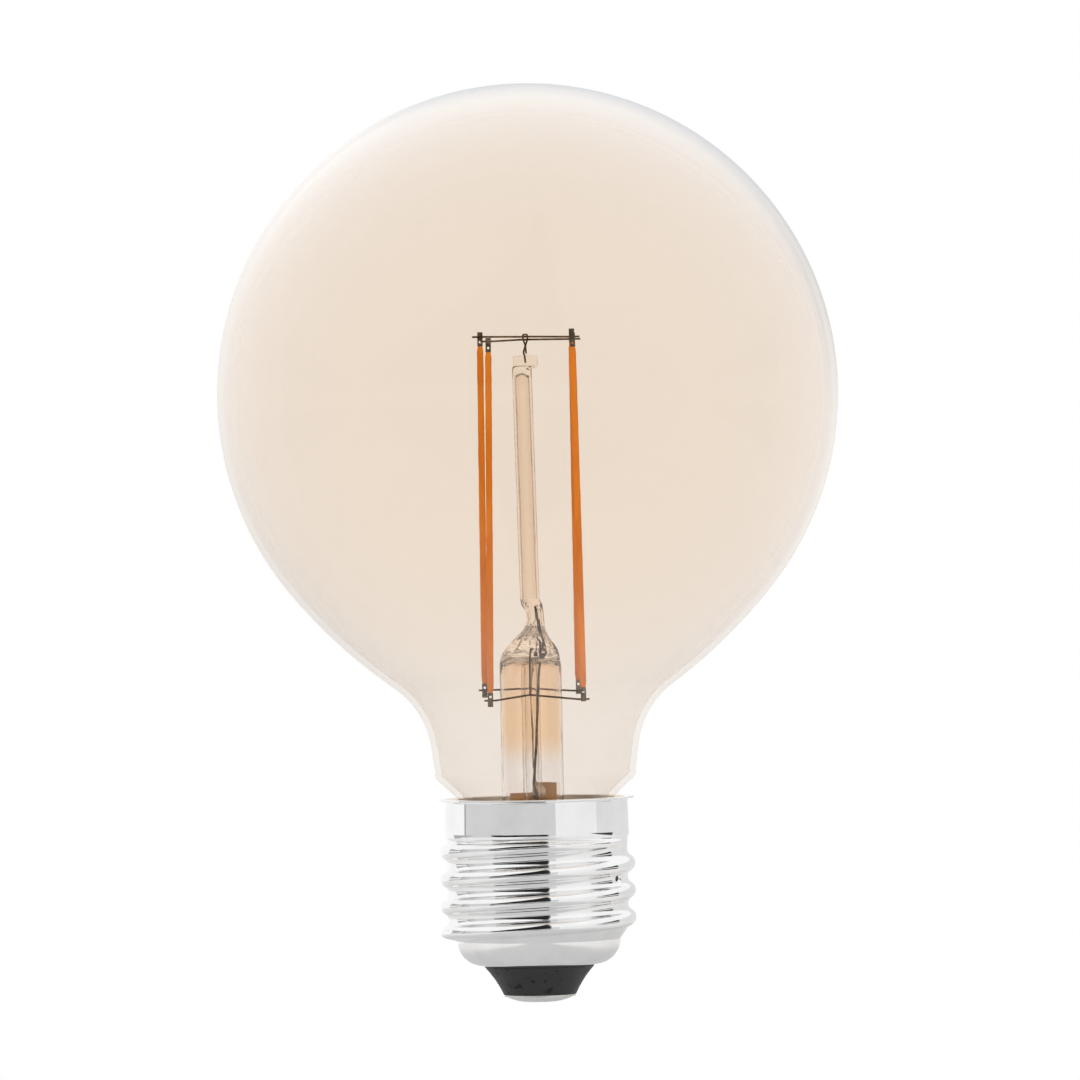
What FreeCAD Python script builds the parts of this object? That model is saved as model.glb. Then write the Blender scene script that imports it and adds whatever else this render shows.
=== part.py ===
import FreeCAD, Part
import math
import os
import Sketcher
from FreeCAD import Placement, Rotation, Vector

# Clear globe lamp with four straight filaments and an E27 screw cap.
# The origin is the lowest point of the centre contact, on the cap's axis. +Z runs up through the
# globe, +X points right and -Y points at whoever looks at the front.

# Driving dimensions, in millimetres and degrees
SIZES = (
    ("globe_radius", 41.5, "outside radius of the blown globe"),
    ("flank_radius", 71.0, "flatter arc between globe and neck"),
    ("flank_start", 39.0, "angle below the globe's centre where the flank begins"),
    ("neck_curve", 11.6, "hollow arc that runs into the neck"),
    ("neck_taper", 8.0, "how much the neck narrows downwards"),
    ("neck_radius", 13.9, "neck, where the hollow arc ends"),
    ("neck_height", 34.4, "height of that place"),
    ("shoulder_height", 30.9, "where the neck starts to turn in"),
    ("shoulder_drop", 1.55, "height of the turn"),
    ("shoulder_inset", 0.8, "how far the turn comes in"),
    ("shoulder_curve", 1.7, "radius of the turn"),
    ("mouth_radius", 10.5, "neck at the cap's rim"),
    ("seal_radius", 10.0, "neck inside the cap"),
    ("seal_height", 18.5, "where neck and stem are melted together"),
    ("seal_round", 1.5, "height of the step from mouth to seal radius"),
    ("glass_wall", 0.8, "wall of globe and neck"),
    ("rim_height", 27.3, "top of the cap"),
    ("cap_wall", 0.3, "sheet metal of the cap"),
    ("lip_radius", 13.05, "outside of the cap's lip"),
    ("lip_curl", 0.6, "outside radius of the bend under the lip"),
    ("skirt_radius", 12.2, "skirt under the lip"),
    ("skirt_bulge", 0.1, "how much wider the skirt is lower down"),
    ("skirt_bottom", 21.7, "where the skirt narrows to the thread"),
    ("skirt_step", 0.5, "height of that narrowing"),
    ("thread_root", 12.05, "thread root radius"),
    ("thread_crest", 13.08, "thread crest radius"),
    ("thread_round", 1.025, "radius that crest and root are rolled to"),
    ("crest_land", 0.35, "half width of the crest's top"),
    ("thread_pitch", 3.629, "thread pitch"),
    ("thread_start", 8.97, "crest height where the full thread begins"),
    ("thread_angle", 150.0, "direction of that place, from +X"),
    ("thread_turns", 3.5, "turns of full thread"),
    ("runout_turns", 0.3, "turns over which the crest fades into the cup"),
    ("runout_lean", 52.0, "how steeply it sinks in there"),
    ("runout_height", 1.3, "height over which the crest fades under the skirt"),
    ("ridge_share", 0.4, "half width of the crest's ridge, as a share of the pitch"),
    ("thread_foot", 9.9, "where the wall leaves the root radius"),
    ("cup_top", 8.3, "where the wall reaches the cup"),
    ("cup_radius", 10.5, "cup below the thread"),
    ("cup_curve", 2.2, "rounding of the cup's bottom"),
    ("cap_bottom", 4.95, "lowest edge of the sheet metal"),
    ("cap_opening", 7.35, "hole in the cap's bottom"),
    ("dimple_ball", 0.75, "radius of the punch that made the stake dimple"),
    ("dimple_depth", 0.4, "depth of the stake dimple"),
    ("dimple_height", 16.5, "height of the stake dimple"),
    ("dimple_angle", -38.0, "its direction, from +X"),
    ("cement_top", 26.3, "top of the cement"),
    ("cement_bottom", 19.4, "bottom of the cement"),
    ("fit_gap", 0.04, "clearance between pieces that seat in each other"),
    ("insulator_top", 7.6, "top of the insulator inside the cap"),
    ("insulator_face", 1.0, "lower face of the insulator"),
    ("insulator_foot", 4.85, "radius of its lower face"),
    ("insulator_hollow", 14.0, "radius of its hollow cone"),
    ("insulator_step", 0.25, "upright band under the cap's edge"),
    ("insulator_boss", 2.4, "radius of the boss round its hole"),
    ("boss_rise", 0.6, "height of that boss"),
    ("contact_hole", 1.2, "radius of its hole"),
    ("contact_radius", 4.75, "centre contact plate"),
    ("contact_sheet", 0.25, "thickness of the plate"),
    ("solder_plug", 1.5, "how far the solder fills the eyelet"),
    ("eyelet_radius", 1.1, "outside of the plate's eyelet"),
    ("eyelet_bore", 0.75, "inside of the eyelet"),
    ("eyelet_length", 4.0, "how far the eyelet reaches into the insulator"),
    ("solder_radius", 4.6, "solder dome, where it meets the plate"),
    ("solder_flat", 1.5, "flat spot at the dome's lowest point"),
    ("stem_offset", -0.4, "stem's distance from the cap's axis along X"),
    ("stem_radius", 4.15, "outside of the stem's tube"),
    ("stem_wall", 0.7, "wall of the stem's tube"),
    ("flare_bend", 4.5, "outside bend of the flared foot"),
    ("press_start", 44.6, "where the tube begins to close"),
    ("roof_rise", 1.6, "roof inside the closed end, above that"),
    ("roof_drop", 1.5, "height of the roof's rounded edge"),
    ("roof_flat", 1.6, "radius of the roof's flat middle"),
    ("pinch_rise", 4.4, "lower end of the pinched neck, above the closed end's start"),
    ("pinch_length", 4.8, "length of the pinched neck"),
    ("pinch_half_width", 1.12, "half width of the pinch, seen from the front"),
    ("pinch_half_depth", 1.75, "half depth of the pinch"),
    ("pinch_shift", 0.42, "pinch's distance from the cap's axis along X"),
    ("passage_radius", 0.35, "air passage through the pinch"),
    ("channel_gap", 0.02, "between a wire and the glass pressed round it"),
    ("exhaust_radius", 1.25, "outside of the exhaust tube"),
    ("exhaust_wall", 0.45, "its wall"),
    ("exhaust_tip", 12.0, "lowest point of its melted tip"),
    ("tip_length", 2.4, "length of that tip"),
    ("tip_flat", 0.3, "radius of the tip's blunt end"),
    ("pillar_radius", 1.31, "outside of the support pillar"),
    ("pillar_wall", 0.45, "its wall"),
    ("pillar_foot", -0.28, "foot's distance from the cap's axis along X"),
    ("pillar_lean", 0.82, "how far the pillar leans to the left"),
    ("pillar_roof", 0.8, "solid glass above its closed bore"),
    ("port_drop", 4.4, "side port, below the head"),
    ("port_radius", 0.6, "radius of the side port"),
    ("head_width", 3.29, "flattened head"),
    ("head_depth", 1.6, "its depth"),
    ("head_height", 1.5, "its height"),
    ("head_gap", 2.4, "how far it ends below the filaments' heads"),
    ("head_shift", 0.5, "how far it was squeezed to the right"),
    ("head_round", 0.35, "rounding of its edges"),
    ("strip_length", 49.1, "filament, tab end to tab end"),
    ("strip_width", 0.87, "coated strip, across the front"),
    ("strip_depth", 0.8, "coated strip, front to back"),
    ("strip_round", 0.28, "rounding of its long edges"),
    ("tab_length", 1.9, "metal end tab"),
    ("tab_width", 0.72, "its width"),
    ("tab_sheet", 0.2, "its thickness"),
    ("tab_hole", 0.17, "radius of the hole in it"),
    ("tab_hole_place", 0.57, "hole's distance from the coating"),
    ("cage_drop", 5.0, "lowest filament foot, below the start of the stem's closed end"),
    ("foot_depth", 5.6, "filaments' feet, in front of and behind the axis"),
    ("crown_depth", 5.0, "filaments' heads, in front of and behind the axis"),
    ("left_back_foot", -6.6, "X of this filament's foot"),
    ("left_back_crown", -6.25, "X of its head"),
    ("left_back_base", 1.05, "its foot, above the lowest one"),
    ("left_front_foot", -5.8, "X of this filament's foot"),
    ("left_front_crown", -5.1, "X of its head"),
    ("left_front_base", 0.0, "its foot, above the lowest one"),
    ("right_front_foot", 6.6, "X of this filament's foot"),
    ("right_front_crown", 6.1, "X of its head"),
    ("right_front_base", 0.5, "its foot, above the lowest one"),
    ("right_back_foot", 6.0, "X of this filament's foot"),
    ("right_back_crown", 6.05, "X of its head"),
    ("right_back_base", 1.3, "its foot, above the lowest one"),
    ("wire_radius", 0.13, "nickel wires and inner leads"),
    ("wire_bend", 0.6, "how tightly the wires are bent"),
    ("weld_gap", 0.01, "between a wire and what it is welded to"),
    ("bottom_overhang", 0.45, "how far a bottom wire passes its tabs"),
    ("top_overhang", 0.7, "how far a top wire passes its tabs"),
    ("bottom_front_left", 0.85, "front bottom wire's left end, above the lowest foot"),
    ("bottom_front_middle", 1.5, "its middle"),
    ("bottom_front_right", 0.8, "its right end"),
    ("bottom_back_left", 2.05, "back bottom wire's left end, above the lowest foot"),
    ("bottom_back_middle", 2.2, "its middle"),
    ("bottom_back_right", 1.75, "its right end"),
    ("bottom_bow", 4.85, "bottom wires' distance from the axis in the middle"),
    ("top_back_left", 0.4, "back top wire's left end, above the lowest head"),
    ("top_back_middle", 0.2, "its middle"),
    ("top_back_right", 0.2, "its right end"),
    ("top_front_left", -0.45, "front top wire's left end, above the lowest head"),
    ("top_front_middle", -0.2, "its middle"),
    ("top_front_right", -0.35, "its right end"),
    ("top_bow", 0.16, "top wires' distance from the axis in the middle"),
    ("weld_place", -0.5, "X of the welds in the middle of the bottom wires"),
    ("hook_place", -0.2, "X of the hook, and of the top wires' middle"),
    ("hook_span", 0.6, "how far the top wires run straight each side of the hook"),
    ("hook_radius", 0.12, "hook wire"),
    ("hook_bend", 0.35, "how tightly it is bent"),
    ("hook_seat", 0.9, "how deep the hook is melted into the head"),
    ("hook_half_width", 0.33, "half width of the hook's loop"),
    ("hook_loop", 1.55, "height of that loop above its crossing"),
    ("hook_tail", 1.0, "how far its free end hangs below the crossing"),
    ("hook_lean", 0.1, "how far it leans to the left as it leaves the head"),
    ("hook_belly", 0.25, "how far it bulges to the left below the crossing"),
    ("lead_seat", 2.6, "how near the axis the inner leads start, inside the glass"),
    ("lead_exit", 2.4, "where the inner leads leave the glass, above the closed end's start"),
    ("lead_rise", 0.3, "how much they rise on the way out"),
    ("lead_inset", 0.15, "how much nearer the axis than the tube they turn down"),
    ("lead_fall", 1.2, "how far below the exit they reach their upright run"),
    ("lead_bend", 1.5, "how tightly the outer leads are bent"),
    ("lead_radius", 0.16, "outer leads"),
    ("board_sheet", 0.6, "thickness of the driver board"),
    ("tongue_width", 5.3, "board's narrow part, inside the stem"),
    ("tongue_right", 29.1, "its top edge on the right"),
    ("tongue_left", 27.6, "its top edge on the left"),
    ("tongue_notch", -0.55, "X of the step between them"),
    ("board_width", 16.0, "board's wide part, inside the cap"),
    ("board_top", 17.2, "top of the wide part"),
    ("board_bottom", 8.8, "bottom of the wide part"),
    ("capacitor_radius", 2.5, "smoothing capacitor"),
    ("capacitor_length", 6.8, "its length"),
    ("capacitor_place", -5.2, "its X"),
    ("can_edge", 0.25, "bevel of its rims, and depth of its groove"),
    ("can_groove", 1.15, "height of that groove above its bottom"),
    ("can_pitch", 2.0, "distance between its legs"),
    ("resistor_radius", 1.15, "fusible resistor"),
    ("resistor_length", 5.6, "its length"),
    ("resistor_place", 4.6, "its X"),
    ("resistor_edge", 0.3, "bevel of its ends"),
    ("component_wire", 0.25, "radius of the components' legs and of both supply wires"),
    ("leg_drop", 0.6, "how far a leg runs on before it turns to the board"),
    ("live_place", 1.6, "X where the live wire leaves the board"),
    ("neutral_place", 6.9, "X where the neutral wire leaves the board"),
    ("neutral_height", 13.2, "height of that place"),
    ("neutral_reach", 1.2, "how far it stands out before it bends"),
    ("neutral_bend", 0.6, "its second bend, as a share of the rest of its way"),
    ("rectifier_width", 4.7, "bridge rectifier"),
    ("rectifier_height", 3.9, "its height up the board"),
    ("chip_width", 4.9, "driver chip"),
    ("chip_height", 3.4, "its height up the board"),
    ("package_depth", 1.4, "thickness of both packages"),
    ("package_draft", 0.15, "slope of their moulded sides"),
    ("package_place", 10.2, "height of the driver chip's lower side"),
    ("package_gap", 0.6, "between the two packages"),
    ("leg_pitch", 1.27, "legs of the driver chip"),
    ("leg_width", 0.4, "width of a leg"),
    ("leg_reach", 0.9, "how far a leg stands out of its package"),
    ("leg_sheet", 0.2, "thickness of a leg"),
    ("chip_resistor_length", 2.0, "chip resistors"),
    ("chip_resistor_width", 1.25, "their width"),
    ("chip_resistor_sheet", 0.5, "their thickness"),
)

# Places that follow from the driving dimensions
WORKED = (
    ("flank_shift", "(Sizes.flank_radius - Sizes.globe_radius) * cos(Sizes.flank_start)"),
    ("flank_rise", "(Sizes.flank_radius - Sizes.globe_radius) * sin(Sizes.flank_start)"),
    ("flank_end", "acos((Sizes.neck_radius + Sizes.neck_curve * cos(Sizes.neck_taper) + flank_shift)"
                  " / (Sizes.flank_radius + Sizes.neck_curve))"),
    ("globe_centre", "Sizes.neck_height - Sizes.neck_curve * sin(Sizes.neck_taper) - flank_rise"
                     " + (Sizes.flank_radius + Sizes.neck_curve) * sin(flank_end)"),
    ("shoulder_radius", "Sizes.neck_radius"
                        " - (Sizes.neck_height - Sizes.shoulder_height) * tan(Sizes.neck_taper)"),
    ("shoulder_lean", "atan((shoulder_radius - Sizes.shoulder_inset - Sizes.mouth_radius)"
                      " / (Sizes.shoulder_height - Sizes.shoulder_drop - Sizes.rim_height))"),
    ("flank_half_width", "Sizes.thread_pitch / 4"),
    ("flank_height", "Sizes.thread_crest - Sizes.thread_round"
                     " + sqrt(Sizes.thread_round ^ 2 - flank_half_width ^ 2)"),
    ("ridge_half_width", "Sizes.thread_pitch * Sizes.ridge_share"),
    ("ridge_depth", "Sizes.thread_root - Sizes.cup_radius + Sizes.cap_wall"),
    ("ridge_heel", "Sizes.thread_foot - Sizes.cup_top - Sizes.cap_wall"),
    ("runout_edge", "Sizes.skirt_bottom - Sizes.runout_height - Sizes.runout_height / 2"),
    ("skirt_widest", "Sizes.skirt_radius + Sizes.skirt_bulge"),
    ("skirt_knee", "Sizes.skirt_bottom + Sizes.skirt_step"),
    ("cap_bore", "Sizes.thread_root - Sizes.cap_wall"),
    ("cup_bore", "Sizes.cup_radius - Sizes.cap_wall"),
    ("cap_floor", "Sizes.cap_bottom + Sizes.cap_wall"),
    ("cement_mouth", "Sizes.mouth_radius - (Sizes.mouth_radius - Sizes.seal_radius)"
                     " * (Sizes.rim_height - Sizes.cement_top) / Sizes.seal_round"),
    ("plate_face", "Sizes.insulator_face - Sizes.contact_sheet"),
    ("plug_top", "plate_face + Sizes.solder_plug"),
    ("solder_curve", "((Sizes.solder_radius - Sizes.solder_flat) ^ 2 + plate_face ^ 2)"
                     " / (2 * plate_face)"),
    ("stem_bore", "Sizes.stem_radius - Sizes.stem_wall"),
    ("roof_height", "Sizes.press_start + Sizes.roof_rise"),
    ("press_height", "Sizes.pinch_rise + Sizes.pinch_length"),
    ("pinch_top", "Sizes.press_start + press_height"),
    ("cage_foot", "Sizes.press_start - Sizes.cage_drop"),
    ("cage_head", "cage_foot + Sizes.strip_length"),
    ("pillar_length", "cage_head - Sizes.head_gap - Sizes.head_height - pinch_top"),
    ("foot_centre", "Sizes.stem_radius + Sizes.flare_bend"),
    ("foot_rise", "Sizes.seal_height + Sizes.flare_bend"),
    ("flare_bottom", "Sizes.seal_height - Sizes.stem_wall"),
    ("roof_curve", "((stem_bore - Sizes.roof_flat) ^ 2 + Sizes.roof_drop ^ 2)"
                   " / (2 * Sizes.roof_drop)"),
    ("exhaust_bore", "Sizes.exhaust_radius - Sizes.exhaust_wall"),
    ("tip_curve", "((Sizes.exhaust_radius - Sizes.tip_flat) ^ 2 + Sizes.tip_length ^ 2)"
                  " / (2 * (Sizes.exhaust_radius - Sizes.tip_flat))"),
    ("pillar_hollow", "Sizes.pillar_radius - Sizes.pillar_wall"),
    ("board_front", "Sizes.exhaust_radius + 2 * Sizes.fit_gap"),
    ("board_back", "board_front + Sizes.board_sheet"),
    ("parting_line", "Sizes.leg_sheet + Sizes.package_depth / 2"),
    ("rectifier_base", "Sizes.package_place + Sizes.chip_height + Sizes.package_gap"),
    ("capacitor_base", "Sizes.board_bottom + 2 * Sizes.leg_drop"),
    ("resistor_base", "Sizes.board_bottom + 2 * Sizes.leg_drop"),
)

# Sections of the stem's closed end, from its start up to the pillar's foot: height above that start, as
# a share of the closed end's height, then shift along X, half width and half depth, as shares of the
# stem's radius
PRESS = (
    (0.0, 0.0, 1.0, 1.0),
    (0.217, 0.072, 0.831, 0.964),
    (0.304, 0.053, 0.723, 0.892),
    (0.402, 0.06, 0.53, 0.723),
    ("Sizes.pinch_rise", "Sizes.pinch_shift - Sizes.stem_offset",
     "Sizes.pinch_half_width", "Sizes.pinch_half_depth"),
    (0.75, 0.2, 0.258, 0.361),
    (0.913, 0.084, 0.32, 0.337),
    ("Worked.press_height", "Sizes.pillar_foot - Sizes.stem_offset",
     "Sizes.pillar_radius", "Sizes.pillar_radius"),
)
PRESS_UNITS = {"rise": "Worked.press_height", "shift": "Sizes.stem_radius",
               "half_width": "Sizes.stem_radius", "half_depth": "Sizes.stem_radius"}

# Front and back as directions along Y, and the words for them
FRONT, BACK = -1, 1
NAMES = {FRONT: "front", BACK: "back"}
FILAMENTS = ("left_back", "left_front", "right_front", "right_back")

# X of the inner leads where they start in the glass, leave it and turn down, as shares of the stem's
# radius
INNER_LEADS = {FRONT: (-0.024, -0.072, -0.108), BACK: (0.217, 0.217, 0.193)}

# The outer leads' lines, from inside the pinch down to the driver board, and the air passage's line: X
# and Y as shares of the stem's radius, then a height. Above the closed end's start that is a share of
# the closed end's height, and below it a share of the way down to the board's tongue.
OUTER_LEADS = {
    FRONT: ((0.072, -0.193, 0.891), (0.193, -0.193, 0.478), (0.21, -0.217, 0.196),
            (0.125, -0.482, -0.194), (0.046, -0.53, -0.639), (-0.063, -0.482, -1.0),
            (0.145, -0.458, -1.2), (0.361, -0.313, -1.329), (0.434, 0.145, -1.439),
            (0.434, 0.265, -1.568)),
    BACK: ((0.048, 0.482, 0.283), (0.024, 0.53, 0.098), (-0.108, 0.602, -0.232),
           (-0.034, 0.602, -0.845), (0.12, 0.506, -1.103)),
}
AIR_PASSAGE = ((-0.048, 0.096, 0.174), (0.084, 0.096, 0.533), (0.084, 0.096, 0.804), (-0.067, 0.0, 1.0))

doc = FreeCAD.newDocument("GlobeLamp")


def fill_sheet(name, rows):
    """A sheet with a name, a value and a meaning in each row; the name is the value's alias."""
    sheet = doc.addObject("Spreadsheet::Sheet", name)
    for number, row in enumerate(rows, start=1):
        sheet.set(f"A{number}", row[0])
        sheet.set(f"B{number}", str(row[1]))
        sheet.setAlias(f"B{number}", row[0])
        if len(row) > 2:
            sheet.set(f"C{number}", row[2])
    doc.recompute()
    return sheet


sizes = fill_sheet("Sizes", SIZES)
worked = fill_sheet("Worked", [(name, "=" + formula) for name, formula in WORKED])
press = fill_sheet("Press", [
    (f"{name}_{number}", "=" + (value if isinstance(value, str) else f"{PRESS_UNITS[name]} * {value}"))
    for number, row in enumerate(PRESS)
    for name, value in zip(PRESS_UNITS, row)
])


def cell(sheet, name):
    """The number in a named cell."""
    value = getattr(sheet, name)
    return float(getattr(value, "Value", value))


def size(name):
    """A driving size."""
    return cell(sizes, name)


def worked_size(name):
    """A size that follows from the driving ones."""
    return cell(worked, name)


def bind(thing, **formulas):
    """Bind properties of an object to formulas; a double underscore stands for a dot."""
    for name, formula in formulas.items():
        thing.setExpression(name.replace("__", "."), formula)


# Outlines
#
# An outline is a list in which corners and edges take turns. A corner is a pair of formulas. An edge
# is None for a straight run or (radius formula, side), where side is 1 if the arc's centre lies to
# the left of the way from one corner to the next, and -1 if it lies to the right.


def back_to_front(path):
    """The same line drawn from its other end."""
    return [(step[0], -step[1]) if place % 2 and step else step
            for place, step in enumerate(reversed(path))]


def arc_middle(start, end, radius, side):
    """The middle point of an arc of less than half a turn."""
    chord = end - start
    centre_way = Vector(-chord.y, chord.x, 0).normalize() * side
    to_centre = math.sqrt(max(radius ** 2 - (chord.Length / 2) ** 2, 0.0))
    return (start + end) * 0.5 - centre_way * (radius - to_centre)


def draw(sketch, path):
    """Draw a closed outline, with every corner and radius bound to its formula."""
    corners = path[0::2]
    edges = path[1::2] + [None] * (len(corners) - len(path[1::2]))
    points = [Vector(*[sketch.evalExpression(formula) for formula in corner], 0)
              for corner in corners]
    ends = []
    for place, edge in enumerate(edges):
        start, end = points[place], points[(place + 1) % len(points)]
        if edge:
            radius = sketch.evalExpression(edge[0])
            curve = Part.Arc(start, arc_middle(start, end, radius, edge[1]), end)
        else:
            curve = Part.LineSegment(start, end)
        sketch.addGeometry(curve, False)
        turned_round = bool(edge) and edge[1] < 0
        ends.append((2, 1) if turned_round else (1, 2))
    rules = []
    formulas = []
    for place, edge in enumerate(edges):
        after = (place + 1) % len(edges)
        rules.append(Sketcher.Constraint("Coincident", place, ends[place][1], after, ends[after][0]))
        for kind, formula, value in (("DistanceX", corners[place][0], points[place].x),
                                     ("DistanceY", corners[place][1], points[place].y)):
            formulas.append((len(rules), formula))
            rules.append(Sketcher.Constraint(kind, -1, 1, place, ends[place][0], value))
        if edge:
            formulas.append((len(rules), edge[0]))
            rules.append(Sketcher.Constraint("Radius", place, float(sketch.evalExpression(edge[0]))))
    sketch.addConstraint(rules)
    for number, formula in formulas:
        sketch.setExpression(f"Constraints[{number}]", formula)


def body_named(label):
    """An empty body."""
    body = doc.addObject("PartDesign::Body", label)
    body.Label = label
    return body


def sketch_on(body, role, path):
    """A closed outline on one of the body's own origin planes."""
    sketch = body.newObject("Sketcher::SketchObject", body.Name + "_outline")
    plane = next(face for face in body.Origin.OriginFeatures if face.Role == role)
    sketch.AttachmentSupport = (plane, "")
    sketch.MapMode = "FlatFace"
    draw(sketch, path)
    return sketch


def turned(body, path):
    """Add a full turn of an upright outline round the body's Z axis."""
    sketch = sketch_on(body, "XZ_Plane", path)
    feature = body.newObject("PartDesign::Revolution", body.Name + "_turned")
    feature.Profile = sketch
    feature.ReferenceAxis = (sketch, ["V_Axis"])
    feature.Angle = 360
    doc.recompute()
    return feature


def turned_away(body, path):
    """Cut a full turn of an upright outline out of the body."""
    sketch = sketch_on(body, "XZ_Plane", path)
    feature = body.newObject("PartDesign::Groove", body.Name + "_groove")
    feature.Profile = sketch
    feature.ReferenceAxis = (sketch, ["V_Axis"])
    feature.Angle = 360
    doc.recompute()
    return feature


def helix(body, path, turns, lean, downwards):
    """Add an upright outline swept along a right-hand helix at the thread's pitch."""
    sketch = sketch_on(body, "XZ_Plane", path)
    feature = body.newObject("PartDesign::AdditiveHelix", body.Name + "_helix")
    feature.Profile = sketch
    feature.ReferenceAxis = (sketch, ["V_Axis"])
    feature.Mode = "pitch-turns-angle"
    feature.setExpression("Pitch", "Sizes.thread_pitch")
    feature.setExpression("Turns", turns)
    feature.setExpression("Angle", lean)
    feature.Reversed = downwards
    doc.recompute()
    return feature


def extruded(body, role, path, length, both_ways=False):
    """Add an outline's straight extrusion along its plane's normal."""
    sketch = sketch_on(body, role, path)
    feature = body.newObject("PartDesign::Pad", body.Name + "_pad")
    feature.Profile = sketch
    feature.setExpression("Length", length)
    feature.SideType = "Symmetric" if both_ways else "One side"
    doc.recompute()
    return feature


def rounded_rectangle(low_x, low_y, high_x, high_y, radius):
    """The same with its corners rounded."""
    round_off = (radius, 1)
    return [
        (f"{low_x} + {radius}", low_y), None, (f"{high_x} - {radius}", low_y), round_off,
        (high_x, f"{low_y} + {radius}"), None, (high_x, f"{high_y} - {radius}"), round_off,
        (f"{high_x} - {radius}", high_y), None, (f"{low_x} + {radius}", high_y), round_off,
        (low_x, f"{high_y} - {radius}"), None, (low_x, f"{low_y} + {radius}"), round_off,
    ]


def turn_about_z(angle):
    """A level direction, by its angle from +X."""
    return Vector(math.cos(math.radians(angle)), math.sin(math.radians(angle)), 0)


def ball(label, radius, place):
    """A ball with its radius bound to a formula."""
    sphere = doc.addObject("Part::Sphere", label)
    sphere.setExpression("Radius", radius)
    sphere.Placement.Base = place
    return sphere


def rod(label, radius, length, placement):
    """A round rod with both sizes bound to formulas."""
    cylinder = doc.addObject("Part::Cylinder", label)
    bind(cylinder, Radius=radius, Height=length)
    cylinder.Placement = placement
    return cylinder


def combined(kind, label, shapes):
    """Several shapes as one, by Part::MultiFuse or Part::MultiCommon."""
    whole = doc.addObject(kind, label)
    whole.Shapes = shapes
    whole.Refine = False
    return whole


def cut_from(label, base, tool):
    """A shape less another one."""
    cut = doc.addObject("Part::Cut", label)
    cut.Base = base
    cut.Tool = tool
    cut.Refine = False
    cut.Label = label
    return cut


# Wires

# The share of a run that an arc may take, and the turn below which a corner is left out
ARC_SHARE = 0.45
STRAIGHT = 0.002

def wire_route(points, bend):
    """A line of straight runs joined by tangent arcs; a short run gets a smaller arc."""
    edges = []
    start = points[0]
    for before, corner, after in zip(points, points[1:], points[2:]):
        inward, onward = (before - corner).normalize(), (after - corner).normalize()
        half = inward.getAngle(onward) / 2
        if math.cos(half) < STRAIGHT:
            continue
        reach = min(bend / math.tan(half), ARC_SHARE * (corner - before).Length,
                    ARC_SHARE * (after - corner).Length)
        radius = reach * math.tan(half)
        enter, leave = corner + inward * reach, corner + onward * reach
        centre = corner + (inward + onward).normalize() * (radius / math.sin(half))
        middle = centre + (corner - centre).normalize() * radius
        edges.append(Part.LineSegment(start, enter).toShape())
        edges.append(Part.Arc(enter, middle, leave).toShape())
        start = leave
    edges.append(Part.LineSegment(start, points[-1]).toShape())
    return Part.Wire(edges)


def round_bar(points, radius, bend):
    """A solid round bar along a bent route."""
    route = wire_route(points, bend)
    way = points[1] - points[0]
    ring = Part.Wire(Part.makeCircle(radius, points[0], way))
    return route.makePipeShell([ring], True, True)


def wire_piece(label, points, radius, bend):
    """A bent wire as a piece of its own."""
    piece = doc.addObject("Part::Feature", label)
    piece.Shape = round_bar(points, radius, bend)
    piece.Placement = Placement()
    piece.Label = label
    return piece


# Glass globe: globe, flank, hollow arc, neck and seal end, blown with one even wall


def globe_wall(inset):
    """The globe's section from its top down to the seal, moved inwards by a formula."""
    return [
        ("0", f"Worked.globe_centre + Sizes.globe_radius - {inset}"),
        (f"Sizes.globe_radius - {inset}", -1),
        (f"(Sizes.globe_radius - {inset}) * cos(Sizes.flank_start)",
         f"Worked.globe_centre - (Sizes.globe_radius - {inset}) * sin(Sizes.flank_start)"),
        (f"Sizes.flank_radius - {inset}", -1),
        (f"(Sizes.flank_radius - {inset}) * cos(Worked.flank_end) - Worked.flank_shift",
         "Worked.globe_centre + Worked.flank_rise"
         f" - (Sizes.flank_radius - {inset}) * sin(Worked.flank_end)"),
        (f"Sizes.neck_curve + {inset}", 1),
        (f"Sizes.neck_radius - {inset} * cos(Sizes.neck_taper)",
         f"Sizes.neck_height + {inset} * sin(Sizes.neck_taper)"),
        None,
        (f"Worked.shoulder_radius - {inset}", "Sizes.shoulder_height"),
        (f"Sizes.shoulder_curve - {inset}", -1),
        (f"Worked.shoulder_radius - Sizes.shoulder_inset - {inset} * cos(Worked.shoulder_lean)",
         f"Sizes.shoulder_height - Sizes.shoulder_drop + {inset} * sin(Worked.shoulder_lean)"),
        None,
        (f"Sizes.mouth_radius - {inset}", "Sizes.rim_height"),
        None,
        (f"Sizes.seal_radius - {inset}", "Sizes.rim_height - Sizes.seal_round"),
        None,
        (f"Sizes.seal_radius - {inset}", "Sizes.seal_height"),
    ]


def glass_globe():
    """The envelope, turned from the outside and inside lines of its wall."""
    section = doc.addObject("Sketcher::SketchObject", "glass_globe_section")
    section.Placement = Placement(Vector(), Rotation(Vector(1, 0, 0), 90))
    draw(section, globe_wall("0") + [None] + back_to_front(globe_wall("Sizes.glass_wall")))
    doc.recompute()
    globe = doc.addObject("Part::Revolution", "glass_globe")
    globe.Source = section
    globe.Axis = Vector(0, 0, 1)
    globe.Base = Vector()
    globe.Angle = 360
    globe.Solid = True
    globe.Label = "glass_globe"
    return globe


# Cap


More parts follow.
